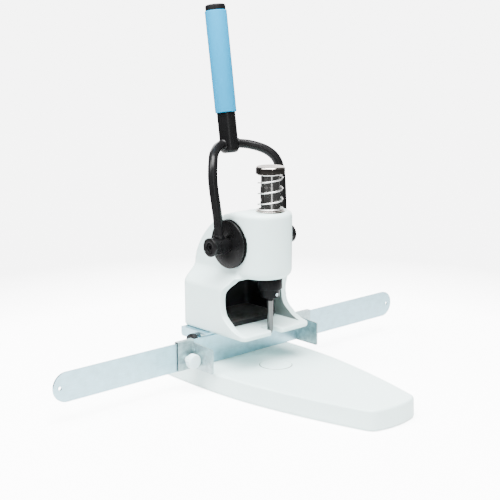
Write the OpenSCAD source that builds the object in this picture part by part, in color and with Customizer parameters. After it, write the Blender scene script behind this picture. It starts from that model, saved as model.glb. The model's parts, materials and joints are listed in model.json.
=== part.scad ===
// Heavy duty single hole punch: a lever press whose cross shaft drives the punch ram
// through a pinion and a rack, with a cast frame on a long base, a sliding back gauge
// and two paper guides. Millimetres. +Z is up, the front faces -Y, and the punch axis
// stands at X = 0, Y = 0 on the plane that the rubber mat rests on.

/* [Base] */
// Length of the base from front to rear
base_len = 265; // [210:1:320]
// Greatest width of the base
base_w = 130; // [120:1:145]
// Height of the base with its mat
base_h = 20; // [17:0.5:26]
// Punch axis to the rear end of the base
base_rear = 97; // [92:1:105]
// Radius of the bowed long sides
base_side_r = 640; // [500:10:900]
// Radius of the bowed front end
base_nose_r = 100; // [80:1:160]
// Radius of the four corners in plan
base_corner_r = 13; // [8:0.5:16]
// Radius of the top edge
base_edge_r = 2.5; // [1:0.25:4]
// Thickness of the rubber mat
mat_t = 2; // [1:0.25:3]
// Setback of the mat from the edge of the base
mat_inset = 2.5; // [1:0.5:6]
// Radius of the round cutting pad
pad_r = 16.4; // [15:0.2:20]
// Punch axis to the pad's own centre
pad_offset = 8.5; // [6:0.5:10]
// Thickness of the cutting pad
pad_t = 6; // [4:0.5:8]

/* [Frame casting] */
// Clear height between the base and the jaw
paper_gap = 31.2; // [28:0.2:36]
// Half width of the lower housing
housing_half_w = 45; // [43:0.5:50]
// Thickness of the housing's side walls
wall_t = 7; // [5:0.5:8]
// Thickness of the jaw that strips the paper
jaw_t = 5; // [4:0.5:7]
// Punch axis to the front edge of the jaw
jaw_front = 11; // [9:0.5:14]
// Width of the slot between the two prongs of the jaw
jaw_slot_w = 13; // [11:0.5:15]
// Height of the open throat above the jaw
throat_h = 51.3; // [48:0.1:60]
// Punch axis to the deepest point of the throat's edge
throat_depth = 23.5; // [21:0.5:26]
// Height of the head above the throat
head_h = 65.5; // [63:0.5:70]
// Half width of the head, which is also the radius of its round front
head_r = 28; // [27:0.5:31]
// Punch axis to the front of the head
head_front = 18.4; // [18:0.2:21]
// Radius of the head's top edge
head_edge_r = 5; // [3:0.5:6]
// Radius of the head's bottom edge
head_foot_r = 7.5; // [5:0.5:7.5]
// Punch axis to the rear of the frame
frame_rear = 83.5; // [80:0.5:88]
// Punch axis to the end of the head's flat top
arm_flat = 20; // [18:0.5:24]
// Height of the sloping shoulder between housing and head
shoulder_h = 19; // [14:0.5:22]
// Half width of the pedestal under the frame
pedestal_half_w = 27; // [25:0.5:30]
// Front to rear length of the pedestal
pedestal_len = 36; // [34:0.5:36]

/* [Ram and punch bit] */
// Radius of the ram
ram_r = 9.75; // [9.25:0.05:10.5]
// Punch axis to the pitch line of the rack
rack_line = 6.7; // [6.2:0.1:7]
// Height of the bare ram between washer and cap
ram_exposed = 36; // [34:0.5:42]
// Radius of the cap on the ram
cap_r = 14.2; // [14:0.1:16]
// Height of the cap
cap_h = 7; // [6:0.5:9]
// Depth of the spring seat inside the cap
cap_seat_h = 2; // [1.5:0.25:3]
// Radius of the guide bushes in the head
bush_r = 12.2; // [11.8:0.1:12.4]
// Height of each guide bush
bush_h = 12; // [8:0.5:13]
// Shoulder under the lower bush, from the bottom of the head
bush_shoulder = 3; // [2:0.5:5]
// Radius of the washer under the spring
washer_r = 14; // [13.6:0.1:14.4]
// Thickness of that washer
washer_t = 1.5; // [1:0.25:2]
// Radius of the bit holder's collar
collar_r = 12; // [10.5:0.1:13]
// Height of that collar
collar_h = 10.8; // [10:0.1:13]
// Radius of the holder's middle part
holder_r = 9.4; // [8:0.1:10]
// Height of that part
holder_h = 8.4; // [7:0.1:9.5]
// Radius of the holder's nose
nose_r = 4.2; // [3.8:0.1:5]
// Height of the nose
nose_h = 3.8; // [3:0.1:4.5]
// Outer radius of the hollow punch bit
bit_r = 3; // [2.5:0.1:3.2]
// Inner radius of the hollow punch bit
bit_bore_r = 2.2; // [1.5:0.1:2.3]

/* [Return spring] */
// Radius of the spring wire
wire_r = 0.7; // [0.5:0.05:0.8]
// Mean radius of the coil
coil_r = 11.9; // [11.6:0.1:12.3]
// Open turns between the two closed ends
open_turns = 3.1; // [2.5:0.1:4]
// Closed turns at each end
closed_turns = 0.85; // [0.5:0.05:1]

/* [Rack and pinion] */
// Gear module
gear_module = 2; // [1.95:0.05:2.05]
// Teeth on the pinion
pinion_teeth = 21; // [20:1:21]
// Width of the pinion
pinion_w = 20; // [16:0.5:21]
// Radius of the cross shaft
shaft_r = 6; // [5:0.25:6.5]
// Shaft axis above the bottom of the head
shaft_rise = 33.1; // [32.5:0.1:34]
// Radius of the bearing flanges
flange_r = 24; // [23.8:0.1:26]
// Thickness of the bearing flanges' discs
flange_t = 1.6; // [1.4:0.1:4]
// Length of the neck between the head and each disc
flange_neck_len = 2.4; // [0.5:0.1:4]

/* [Lever] */
// Radius of the lever hubs
hub_r = 8.5; // [8:0.1:9.5]
// Radius of the hub's end collar
hub_end_r = 9.3; // [9:0.1:11]
// Length of one hub
hub_len = 22.2; // [21:0.2:28]
// Radius of the fork's rod
rod_r = 4.7; // [3:0.1:5]
// Greatest half width of the fork
fork_half_w = 45; // [44.5:0.5:50]
// Shaft axis up to the fork's crossing
fork_rise = 93.4; // [90:0.2:100]
// Shaft axis back to the fork's crossing
fork_setback = 32.4; // [29:0.2:36]
// Outer radius of the lever tube
tube_r = 9.3; // [8.8:0.1:10]
// Wall of the lever tube
tube_wall = 2; // [1.5:0.25:3]
// Length of the lever tube
tube_len = 140.7; // [130:0.1:155]
// Backward lean of the lever tube in degrees
tube_lean = 8.4; // [6:0.2:10]
// Radius of the grip
grip_r = 11; // [10.5:0.1:13]
// Length of the grip
grip_len = 100.2; // [90:0.2:108]
// Length of the end cap outside the tube
end_cap_len = 6; // [5:0.25:8]

/* [Back gauge] */
// Punch axis to the front face of the gauge bar
gauge_y = 38; // [36:0.5:41]
// Length of the gauge bar
bar_len = 456; // [420:1:500]
// Height of the gauge bar
bar_h = 28; // [26:0.2:28.2]
// Thickness of the gauge bar
bar_t = 2; // [1.5:0.25:2.5]
// Radius of the hanging hole near each end of the bar
bar_hole_r = 1.9; // [1.5:0.1:3]
// Thickness of the sliding bracket's sheet
slide_t = 2; // [1.5:0.1:2.2]
// Rear end of the sliding bracket, from the gauge bar's rear face
slide_len = 38.5; // [37:0.5:40]
// Radius of the lock knob
lock_knob_r = 5.6; // [5:0.1:8]
// Thickness of the lock knob
lock_knob_t = 6; // [5:0.5:9]

/* [Paper guides] */
// Punch plane to the flange of the left guide
left_guide_x = 68; // [55:0.5:90]
// Punch plane to the flange of the right guide
right_guide_x = 74; // [55:0.5:90]
// Width of a guide along the bar
guide_w = 20; // [18:0.5:30]
// Reach of a guide's flange in front of the bar
guide_reach = 31; // [28:0.5:36]
// Thickness of the guide's sheet
guide_t = 1.2; // [1:0.1:1.5]
// Radius of the guide's thumb knob
thumb_r = 7.2; // [5.5:0.1:7.4]
// Thickness of the thumb knob
thumb_t = 7; // [5:0.5:8]

/* [Hidden] */

// Overrun of every cut
over = 1;
// Gap between pieces that move past each other
run_gap = 0.3;
// Radial clearance of a shaft or plunger in its bore
fit_gap = 0.05;
// Clearance of a loose bolt or a pressed sheet
loose_gap = 0.2;
// Thickness of the slices that a rounded slab is hulled from
slice_t = 0.1;
// Steps of a quarter turn in the cast outlines
corner_steps = 16;
// Facets of turned pieces
round_fn = 72;

// Heights of the frame, from the floor upwards
jaw_z = base_h + paper_gap;
floor_z = jaw_z + jaw_t;
head_z = floor_z + throat_h;
top_z = head_z + head_h;
shoulder_rise = 7.5;
shoulder_top_z = head_z + shoulder_rise;
shoulder_z = shoulder_top_z - shoulder_h;
base_front = base_len - base_rear;
base_widest_y = 40;
base_draft = 0.6;
base_foot_chamfer = 1;

// Plan centre of the round head, and the radii of the rear corners
head_y = head_r - head_front;
housing_rear_r = 8;
housing_front_r = 6;
housing_edge_r = 2.5;
arm_rear_r = 3;
arm_curve_steps = 20;
arm_curve_power = 1.65;
// Setback of the cavity and the pedestal from the frame's rear
rear_setback = 1;
fillet_steps = 4;
shoulder_steps = 8;

// The throat's edge seen from the side, as shares of its depth and height
throat_edge_shares = [
    [0.70, 1.0], [0.76, 0.9], [0.875, 0.825], [0.945, 0.74], [0.99, 0.65], [1.0, 0.56],
    [0.987, 0.46], [0.95, 0.375], [0.885, 0.3], [0.745, 0.23], [0.56, 0.168],
    [0.37, 0.105], [0.065, 0.04], [-0.215, 0.01], [-0.375, 0]];
cavity_rear = frame_rear - wall_t - rear_setback;
roof_t = 3;
cavity_top_z = head_z - roof_t;
cavity_corner_r = 6;
cavity_steps = 5;
liner_t = 1.5;
liner_gap = 0.1;
liner_floor_t = 5;
liner_setback = 1.2;
liner_high_y = throat_depth + liner_setback;
liner_low_setback = 9;
liner_low_y = liner_high_y + liner_low_setback;
// Heights between which the liner's front edge steps back, as shares of the throat's height
liner_step_shares = [0.25, 0.36];
slot_rear = 9;
slot_corner_r = 4;

// Pedestal and its bolts
pedestal_rear = frame_rear - rear_setback;
pedestal_front = pedestal_rear - pedestal_len;
bolt_r = 4;
bolt_head_r = 6.5;
bolt_head_h = 7;
bolt_reach = 16;
bolt_x = 15;
bolt_y = [pedestal_front + 2 * bolt_r, pedestal_rear - 2 * bolt_r];
bolt_seat_z = mat_t + bolt_head_h + loose_gap;

// Ram, bushes, cap and washer
washer_z = top_z;
spring_z = washer_z + washer_t;
cap_z = spring_z + ram_exposed;
cap_seat_z = cap_z + cap_seat_h;
cap_seat_r = coil_r + wire_r + run_gap;
cap_edge_r = 1.2;
// Thickness of the cap above the ram's end
cap_roof_t = 1;
// Gap between the closed turns of the spring
closed_gap = 0.5;
ram_neck_r = ram_r - 0.05 * ram_r;
ram_neck_z = cap_z - 0.36 * ram_exposed;
ram_top_r = 6;
ram_stud_r = 5;
ram_stud_h = 9;
ram_bore_r = ram_r + loose_gap * 3;
holder_top_z = head_z - run_gap;
holder_mid_z = holder_top_z - collar_h;
nose_top_z = holder_mid_z - holder_h;
nose_z = nose_top_z - nose_h;
collar_chamfer = 0.8;
bit_tip_z = jaw_z;
bit_tip_taper = 2.5;
bit_tip_wall = 0.15;
bit_shank_h = 12;
tip_gap = 0.3;
stroke = bit_tip_z - base_h - tip_gap;

// Clamp screw of the bit
clamp_r = 2;
clamp_proud = 0.6;
clamp_z = nose_top_z + holder_h * 0.42;
hex_share = 0.55;

// Pinion and rack
pitch_r = gear_module * pinion_teeth / 2;
tip_r = pitch_r + gear_module;
root_r = pitch_r - 1.25 * gear_module;
pressure_angle = 20;
backlash = 0.12;
flank_steps = 5;
shaft_y = rack_line + pitch_r;
shaft_z = head_z + shaft_rise;
tooth_pitch = PI * gear_module;
rack_teeth_below = 2;
rack_teeth_above = ceil(stroke / tooth_pitch) + 2;
spigot_r = tip_r + gear_module * 0.35;
spigot_gap = 1.5;
spigot_x = pinion_w / 2 + spigot_gap;
flange_gap = 0.05;
flange_chamfer = 0.6;
flange_neck_r = 21;
// Inner face of the flange's disc
flange_x = head_r + flange_gap + flange_neck_len;
key_w = 4;
key_share = 0.5;

// Lever
hub_x = flange_x + flange_t + run_gap;
hub_neck_len = 4.5;
hub_neck_r = 7.4;
hub_end_len = 2.6;
hub_end_x = hub_x + hub_len;
hub_mid_x = hub_end_x - hub_len / 2;
end_screw_head_r = 4.6;
end_screw_head_h = 4;
end_screw_r = 2.5;
end_screw_len = 10;
// Space between the end screw's head, the hub's face and the shaft's end
end_space = 1;
end_seat_h = end_screw_head_h + end_space;
shaft_end_x = hub_end_x - end_seat_h - end_space;
weld_gap = 0.02;
foot_chamfer = 1.2;
tube_foot_gap = 9;
// Half of the fork's route from hub to crossing, as shares of its half width, setback and rise
fork_route_shares = [
    [0.945, 0, 0.03], [0.945, 0, 0.15], [0.96, 0.02, 0.30], [0.982, 0.07, 0.45],
    [0.998, 0.12, 0.58], [0.998, 0.165, 0.69], [0.965, 0.22, 0.79], [0.885, 0.33, 0.87],
    [0.76, 0.50, 0.928], [0.60, 0.67, 0.964], [0.42, 0.84, 0.988], [0.22, 0.96, 0.998],
    [0, 1, 1]];
route_steps = 3;
rod_sides = 12;
grip_wall_gap = 0.02;
grip_start = tube_len - grip_len;
grip_taper = 0.3;
grip_edge_r = 0.9;
end_cap_r = grip_r - 0.08 * grip_r;
end_plug_len = 14;
end_cap_edge_r = 1.5;

// Back gauge
bar_gap = 0.5;
bar_z = base_h + bar_gap;
bar_top_z = bar_z + bar_h;
bar_hole_inset = 7;
slide_top_z = jaw_z - run_gap;
slide_z = slide_top_z - slide_t;
// Reach of the bracket's side tab beyond the housing
slide_side_reach = 5;
slide_half_w = housing_half_w + slide_side_reach;
slide_y = gauge_y + bar_t;
slide_web_half_w = housing_half_w;
slide_web_gap = 4;
slide_web_z = bar_z + slide_web_gap;
slide_corner_r = 6;
slide_window_gap = 1.5;
slot_screw_r = 2.5;
slot_screw_head_r = 4.6;
slot_screw_head_h = 2.4;
slot_screw_reach = 4.5;
slot_screw_aside = 2.5;
slot_screw_x = (pedestal_half_w + housing_half_w) / 2 + slot_screw_aside;
slot_screw_setback = 12;
slot_screw_y = slide_y + slot_screw_setback;
slot_back = 3.5;
slot_forward = 6.5;
tab_rear_drop = 9.5;
tab_setback = 10;
tab_front_y = slide_y + tab_setback;
lock_setback = 14.5;
lock_y = slide_y + lock_setback;
lock_rise = 21.3;
lock_z = base_h + lock_rise;
tab_r = 4.8;
lock_screw_r = 2.5;
lock_head_r = 2.8;
lock_head_t = 0.6;
lock_collar_r = 4;
lock_collar_t = 1.8;
rivet_r = 2;
rivet_head_t = 1;
rivet_spacing = 20;
rivet_x = [-rivet_spacing, 0, rivet_spacing];
rivet_z = bar_top_z - 2 * rivet_r;

// Paper guides
guide_y = gauge_y - run_gap;
guide_hook_h = 9;
guide_rise = 0.8;
guide_z = base_h + guide_rise;
guide_flange_drop = 1.4;
guide_flange_top_z = bar_top_z - guide_flange_drop;
guide_corner_r = 2;
// Fall of the flange's top edge towards its front
guide_front_drop = 2;
stud_r = 2;
stud_x = guide_t + run_gap + thumb_r;
stud_z = bar_z + bar_h * 0.38;
thumb_neck_r = 3.4;
thumb_neck_len = 5.5;
bend_hole_r = 1.4;
bend_hole_z = bar_z + bar_h * 0.69;
thumb_lobes = 16;
thumb_lobe_r = 0.9;
thumb_edge_r = 0.8;

// Points of an arc about [cx, cy]
function arc_points(cx, cy, r, a0, a1, n) =
    [for (i = [0:n]) let (a = a0 + (a1 - a0) * i / n) [cx + r * cos(a), cy + r * sin(a)]];

// Rounded plan outline: half width, front, rear, front and rear corner radii
function plan(w, front, rear, rf, rr, n) = concat(
    arc_points(w - rf, front + rf, rf, -90, 0, n),
    arc_points(w - rr, rear - rr, rr, 0, 90, n),
    arc_points(rr - w, rear - rr, rr, 90, 180, n),
    arc_points(rf - w, front + rf, rf, 180, 270, n));

function at_height(points, z) = [for (p = points) [p[0], p[1], z]];

// How far a quarter round of radius r draws in at distance d from its end
function quarter_inset(r, d) = d >= r ? 0 : r - sqrt(r * r - (r - d) * (r - d));

// Smooth step from 0 to 1
function ease(t) = (1 - cos(180 * min(1, max(0, t)))) / 2;

// Solid through rings of equal count, closed with flat ends
module loft(rings) {
    n = len(rings[0]);
    m = len(rings);
    points = [for (ring = rings) each ring];
    ends = [[for (i = [0:n - 1]) i], [for (i = [n - 1:-1:0]) (m - 1) * n + i]];
    sides = [for (k = [0:m - 2], i = [0:n - 1])
        let (j = (i + 1) % n, a = k * n + i, b = k * n + j, c = a + n, d = b + n)
        each [[a, c, d], [a, d, b]]];
    polyhedron(points, concat(ends, sides));
}

// A flat outline, drawn as [Y, Z], extruded along X and centred on X = 0
module along_x(length) {
    rotate([90, 0, 90])
        translate([0, 0, -length / 2])
            linear_extrude(length) children();
}

// A cylinder along X between two places
module rod_x(r, x0, x1, fn = round_fn) {
    translate([x0, 0, 0])
        rotate([0, 90, 0])
            cylinder(r = r, h = x1 - x0, $fn = fn);
}

// Turns a piece that points along +X to the front
module to_front() {
    rotate([0, 0, -90]) children();
}

// A turned piece along +X, from a profile of [radius, X] points
module turned_x(profile) {
    rotate([0, 90, 0])
        rotate([0, 0, 180])
            rotate_extrude($fn = round_fn) polygon(profile);
}

// Base
module base_raw_outline() {
    intersection() {
        translate([base_w / 2 - base_side_r, base_widest_y]) circle(base_side_r, $fn = 360);
        translate([base_side_r - base_w / 2, base_widest_y]) circle(base_side_r, $fn = 360);
        translate([-base_w / 2, -base_front]) square([base_w, base_len]);
        union() {
            translate([0, base_nose_r - base_front]) circle(base_nose_r, $fn = 120);
            translate([-base_w / 2, base_nose_r - base_front]) square([base_w, base_len]);
        }
    }
}

module base_outline(inset) {
    offset(r = base_corner_r - inset, $fn = 48)
        offset(delta = -base_corner_r)
            base_raw_outline();
}

module base_slice(z, inset) {
    translate([0, 0, z]) linear_extrude(slice_t) base_outline(inset);
}

module base_plate() {
    color("whitesmoke")
        difference() {
            hull() {
                base_slice(mat_t, base_foot_chamfer);
                base_slice(mat_t + base_foot_chamfer, 0);
                for (a = [0, 30, 60, 90])
                    base_slice(base_h - base_edge_r * (1 - sin(a)) - slice_t,
                        base_draft + base_edge_r * (1 - cos(a)));
            }
            translate([0, -pad_offset, base_h - pad_t - loose_gap / 2])
                cylinder(r = pad_r + loose_gap / 2, h = pad_t + over, $fn = round_fn);
            for (x = [-bolt_x, bolt_x], y = bolt_y)
                translate([x, y, 0]) {
                    cylinder(r = bolt_r + loose_gap, h = base_h + over, $fn = round_fn);
                    cylinder(r = bolt_head_r + loose_gap, h = bolt_seat_z, $fn = round_fn);
                }
        }
}

module base_mat() {
    color("dimgray")
        linear_extrude(mat_t) base_outline(mat_inset + base_foot_chamfer);
}

module cutting_pad() {
    color("white")
        translate([0, -pad_offset, base_h - pad_t])
            cylinder(r = pad_r, h = pad_t, $fn = round_fn);
}

// Frame casting
function arm_rear(t) = arm_flat
    + (frame_rear - arm_flat) * pow(max(0, 1 - pow(t, arm_curve_power)), 1 / arm_curve_power);

function head_ring(z, inset, rear) =
    let (rr = min(arm_rear_r, (rear - head_y) * 0.8))
    at_height(plan(head_r - inset, inset - head_front, rear - inset / 2,
        head_r - inset - loose_gap, rr, corner_steps), z);

module head_body() {
    curve_z = head_z + head_foot_r;
    curve_h = top_z - curve_z;
    low = [for (i = [0:fillet_steps - 1]) let (d = head_foot_r * (1 - cos(90 * i / fillet_steps)))
        head_ring(head_z + d, quarter_inset(head_foot_r, d), frame_rear)];
    high = [for (i = [0:arm_curve_steps]) let (t = sin(90 * i / arm_curve_steps))
        head_ring(curve_z + curve_h * t,
            quarter_inset(head_edge_r, curve_h * (1 - t)), arm_rear(t))];
    loft(concat(low, high));
}

function housing_half(z) = housing_half_w
    + (head_r - housing_half_w) * ease((z - shoulder_z) / shoulder_h);

function housing_ring(z, inset) = at_height(plan(housing_half(z) - inset,
    (z > shoulder_top_z - shoulder_h / 2 ? throat_depth / 2 : -jaw_front) + inset,
    frame_rear - inset, housing_front_r - inset, housing_rear_r - inset
    - (housing_rear_r - arm_rear_r - inset) * ease((z - shoulder_z) / shoulder_h),
    corner_steps), z);

module housing_body() {
    low = [for (i = [0:fillet_steps - 1])
        let (d = housing_edge_r * (1 - cos(90 * i / fillet_steps)))
        housing_ring(jaw_z + d, quarter_inset(housing_edge_r, d))];
    straight = [housing_ring(jaw_z + housing_edge_r, 0)];
    shoulder = [for (i = [0:shoulder_steps])
        housing_ring(shoulder_z + shoulder_h * i / shoulder_steps, 0)];
    loft(concat(low, straight, shoulder));
}

// Everything in front of the throat's edge, from the jaw up to the head
module throat_front() {
    reach = jaw_front + head_front;
    along_x(4 * housing_half_w)
        polygon(concat([for (p = throat_edge_shares)
            [p[0] * throat_depth, floor_z + p[1] * throat_h]],
            [[-reach, floor_z], [-reach, head_z]]));
}

// The hollow of the housing, drawn in by an inset
module cavity(inset) {
    top = cavity_top_z - inset;
    bend = shoulder_z - wall_t / 2;
    levels = concat([floor_z + inset], [for (i = [0:cavity_steps])
        bend + (top - bend) * i / cavity_steps]);
    loft([for (z = levels)
        let (w = housing_half(z + wall_t / 2) - wall_t - inset)
        at_height(plan(w, -housing_half_w, cavity_rear - inset,
            cavity_corner_r, cavity_corner_r, fillet_steps), z)]);
}

module jaw_slot() {
    w = jaw_slot_w / 2;
    translate([0, slot_rear - w, jaw_z - over])
        cylinder(r = w, h = jaw_t + 2 * over, $fn = round_fn);
    translate([-w, -2 * jaw_front, jaw_z - over])
        cube([jaw_slot_w, 2 * jaw_front + slot_rear - w, jaw_t + 2 * over]);
    for (side = [-1, 1])
        translate([side * w, -jaw_front, jaw_z - over])
            difference() {
                translate([side * slot_corner_r / 2, 0, 0])
                    translate([-slot_corner_r / 2, -slot_corner_r, 0])
                        cube([slot_corner_r, 2 * slot_corner_r, jaw_t + 2 * over]);
                translate([side * slot_corner_r, slot_corner_r, -over])
                    cylinder(r = slot_corner_r, h = jaw_t + 4 * over, $fn = round_fn);
            }
}

module pedestal() {
    translate([0, 0, base_h])
        loft([for (z = [0, paper_gap + jaw_t / 2])
            at_height(plan(pedestal_half_w, pedestal_front, pedestal_rear,
                arm_rear_r, arm_rear_r, fillet_steps), z)]);
}

module frame_casting() {
    color("white")
        difference() {
            union() {
                head_body();
                difference() {
                    housing_body();
                    throat_front();
                    cavity(0);
                }
                pedestal();
            }
            jaw_slot();
            // Bore for the two bushes, with a shoulder under the lower one
            translate([0, 0, head_z + bush_shoulder])
                cylinder(r = bush_r, h = head_h - bush_shoulder + over, $fn = round_fn);
            translate([0, 0, head_z - over])
                cylinder(r = ram_bore_r, h = bush_shoulder + 2 * over, $fn = round_fn);
            // Room for the holder's collar under the head
            translate([0, 0, cavity_top_z - over])
                cylinder(r = collar_r + 2 * run_gap, h = head_z - cavity_top_z + over,
                    $fn = round_fn);
            translate([0, shaft_y, shaft_z])
                rod_x(spigot_r + fit_gap, -2 * head_r, 2 * head_r);
            for (x = [-bolt_x, bolt_x], y = bolt_y)
                translate([x, y, base_h - over])
                    cylinder(r = bolt_r, h = bolt_reach + 2 * over, $fn = round_fn);
            for (x = [-slot_screw_x, slot_screw_x])
                translate([x, slot_screw_y, jaw_z - over])
                    cylinder(r = slot_screw_r, h = slot_screw_reach + over, $fn = round_fn);
        }
}

module throat_liner() {
    color("black")
        difference() {
            cavity(liner_gap);
            translate([0, 0, liner_floor_t - liner_t]) cavity(liner_gap + liner_t);
            along_x(4 * housing_half_w)
                polygon([
                    [-2 * housing_half_w, floor_z], [liner_high_y, floor_z],
                    [liner_high_y, floor_z + liner_floor_t],
                    [liner_low_y, floor_z + liner_floor_t],
                    [liner_low_y, floor_z + liner_step_shares[0] * throat_h],
                    [liner_high_y, floor_z + liner_step_shares[1] * throat_h],
                    [liner_high_y, head_z], [-2 * housing_half_w, head_z]]);
        }
}

module frame_bolts() {
    color("dimgray")
        for (x = [-bolt_x, bolt_x], y = bolt_y)
            translate([x, y, bolt_seat_z]) {
                cylinder(r = bolt_r, h = base_h - bolt_seat_z + bolt_reach, $fn = round_fn);
                translate([0, 0, -bolt_head_h])
                    difference() {
                        cylinder(r = bolt_head_r, h = bolt_head_h, $fn = round_fn);
                        translate([0, 0, -over])
                            cylinder(r = bolt_r, h = bolt_head_h / 2 + over, $fn = 6);
                    }
            }
}

// Ram guides and return spring
module bush(z) {
    color("darkgoldenrod")
        translate([0, 0, z])
            difference() {
                cylinder(r = bush_r, h = bush_h, $fn = round_fn);
                translate([0, 0, -over])
                    cylinder(r = ram_r + fit_gap, h = bush_h + 2 * over, $fn = round_fn);
            }
}

module upper_ram_bush() {
    bush(top_z - bush_h);
}

module lower_ram_bush() {
    bush(head_z + bush_shoulder);
}

module spring_washer() {
    color("silver")
        translate([0, 0, washer_z])
            difference() {
                cylinder(r = washer_r, h = washer_t, $fn = round_fn);
                translate([0, 0, -over])
                    cylinder(r = ram_r + run_gap, h = washer_t + 2 * over, $fn = round_fn);
            }
}

spring_h = cap_seat_z - spring_z;
spring_turns = open_turns + 2 * closed_turns;
wire_start_share = 0.2;
wire_lead = 2 * wire_r + closed_gap;
open_lead = (spring_h - 2 * wire_r - 2 * closed_turns * wire_lead) / open_turns;
rings_per_turn = 8;
spring_rings = ceil(spring_turns * rings_per_turn);

// Height of the wire's centre after a number of turns
function wire_rise(t) = wire_r + wire_lead * min(t, closed_turns)
    + open_lead * max(0, min(t - closed_turns, open_turns))
    + wire_lead * max(0, t - closed_turns - open_turns);

function wire_angle(t) = 360 * (t + wire_start_share);

function wire_centre(t) = [coil_r * cos(wire_angle(t)), coil_r * sin(wire_angle(t)),
    spring_z + wire_rise(t)];

// Ring of six points round the wire, square to the coil's circle
function wire_ring(t) = let (c = wire_centre(t), a = wire_angle(t))
    [for (k = [0:5]) let (b = -60 * k) [c[0] + wire_r * cos(b) * cos(a),
        c[1] + wire_r * cos(b) * sin(a), c[2] + wire_r * sin(b)]];

// Gaps between the wire and itself, half a turn or more further on
function coil_gaps() = [for (i = [0:spring_rings], j = [i + rings_per_turn / 2:spring_rings])
    norm(wire_centre(spring_turns * i / spring_rings)
        - wire_centre(spring_turns * j / spring_rings)) - 2 * wire_r];
echo(least_gap_of_spring_to_itself = min(coil_gaps()));
echo(stroke = stroke, lever_angle = stroke / pitch_r * 180 / PI);

module return_spring() {
    color("silver")
        loft([for (i = [0:spring_rings]) wire_ring(spring_turns * i / spring_rings)]);
}

// Cross shaft, pinion and bearing flanges
module bearing_flange() {
    turned_x([
        [shaft_r + fit_gap, spigot_x], [spigot_r, spigot_x],
        [spigot_r, flange_x - flange_neck_len], [flange_neck_r, flange_x - flange_neck_len],
        [flange_neck_r, flange_x], [flange_r, flange_x],
        [flange_r, flange_x + flange_t - flange_chamfer],
        [flange_r - flange_chamfer, flange_x + flange_t],
        [shaft_r + fit_gap, flange_x + flange_t]]);
}

module right_bearing_flange() {
    color("#202022")
        translate([0, shaft_y, shaft_z]) bearing_flange();
}

module left_bearing_flange() {
    color("#202022")
        translate([0, shaft_y, shaft_z]) mirror([1, 0, 0]) bearing_flange();
}

module key_box(clear) {
    translate([-pinion_w / 2 - over, -key_w / 2 - clear, shaft_r - key_w * key_share - clear])
        cube([pinion_w + 2 * over, key_w + 2 * clear, key_w + 2 * clear]);
}

module cross_shaft() {
    color("gray")
        translate([0, shaft_y, shaft_z])
            difference() {
                rod_x(shaft_r, -shaft_end_x, shaft_end_x);
                key_box(0);
                for (side = [0, 1])
                    mirror([side, 0, 0])
                        rod_x(end_screw_r, shaft_end_x - end_screw_len - over, shaft_end_x + over);
            }
}

module pinion_key() {
    color("silver")
        translate([-pinion_w / 2, shaft_y - key_w / 2, shaft_z + shaft_r - key_w * key_share])
            cube([pinion_w, key_w, key_w]);
}

function involute(a) = tan(a) * 180 / PI - a;

// Half the angle that a tooth fills at radius r, in degrees
function tooth_half_angle(r) = 90 / pinion_teeth - backlash / 2 / pitch_r * 180 / PI
    + involute(pressure_angle)
    - involute(acos(min(1, pitch_r * cos(pressure_angle) / r)));

// One tooth of the pinion: up one flank and down the other
function tooth_points(centre) =
    let (base_r = max(root_r, pitch_r * cos(pressure_angle)),
        radii = concat([root_r], [for (i = [0:flank_steps])
            base_r + (tip_r - base_r) * i / flank_steps]))
    concat(
        [for (r = radii) let (a = centre - tooth_half_angle(r)) [r * cos(a), r * sin(a)]],
        [for (i = [len(radii) - 1:-1:0])
            let (a = centre + tooth_half_angle(radii[i])) [radii[i] * cos(a), radii[i] * sin(a)]]);

module drive_pinion() {
    color("slategray")
        translate([0, shaft_y, shaft_z])
            difference() {
                along_x(pinion_w)
                    polygon([for (i = [0:pinion_teeth - 1])
                        each tooth_points(180 + 360 * i / pinion_teeth)]);
                rod_x(shaft_r, -pinion_w, pinion_w);
                key_box(0);
            }
}

// Punch ram, cap, holder and bit
// The space cut from the ram's rear so that a rack is left, drawn as [Y, Z]
module rack_cut() {
    half_gap = tooth_pitch / 4 + backlash / 4;
    slope = tan(pressure_angle);
    tip_y = rack_line + gear_module;
    root_y = rack_line - 1.25 * gear_module;
    low_z = shaft_z - tooth_pitch * (rack_teeth_below + 0.5);
    high_z = shaft_z + tooth_pitch * (rack_teeth_above + 0.5);
    along_x(4 * ram_r)
        polygon(concat([[2 * ram_r, low_z], [tip_y, low_z]],
            [for (i = [-rack_teeth_below:rack_teeth_above])
                let (z = shaft_z + i * tooth_pitch)
                each [[tip_y, z - half_gap - gear_module * slope],
                    [root_y, z - half_gap + 1.25 * gear_module * slope],
                    [root_y, z + half_gap - 1.25 * gear_module * slope],
                    [tip_y, z + half_gap + gear_module * slope]]],
            [[tip_y, high_z], [2 * ram_r, high_z]]));
}

module ram() {
    color("lightgray")
        difference() {
            union() {
                translate([0, 0, holder_top_z])
                    cylinder(r = ram_r, h = ram_neck_z - holder_top_z, $fn = round_fn);
                translate([0, 0, ram_neck_z])
                    cylinder(r = ram_neck_r, h = cap_z - ram_neck_z, $fn = round_fn);
                translate([0, 0, cap_z])
                    cylinder(r = ram_top_r, h = cap_h - cap_roof_t, $fn = round_fn);
                translate([0, 0, holder_top_z - ram_stud_h])
                    cylinder(r = ram_stud_r, h = ram_stud_h, $fn = round_fn);
            }
            rack_cut();
        }
}

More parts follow.
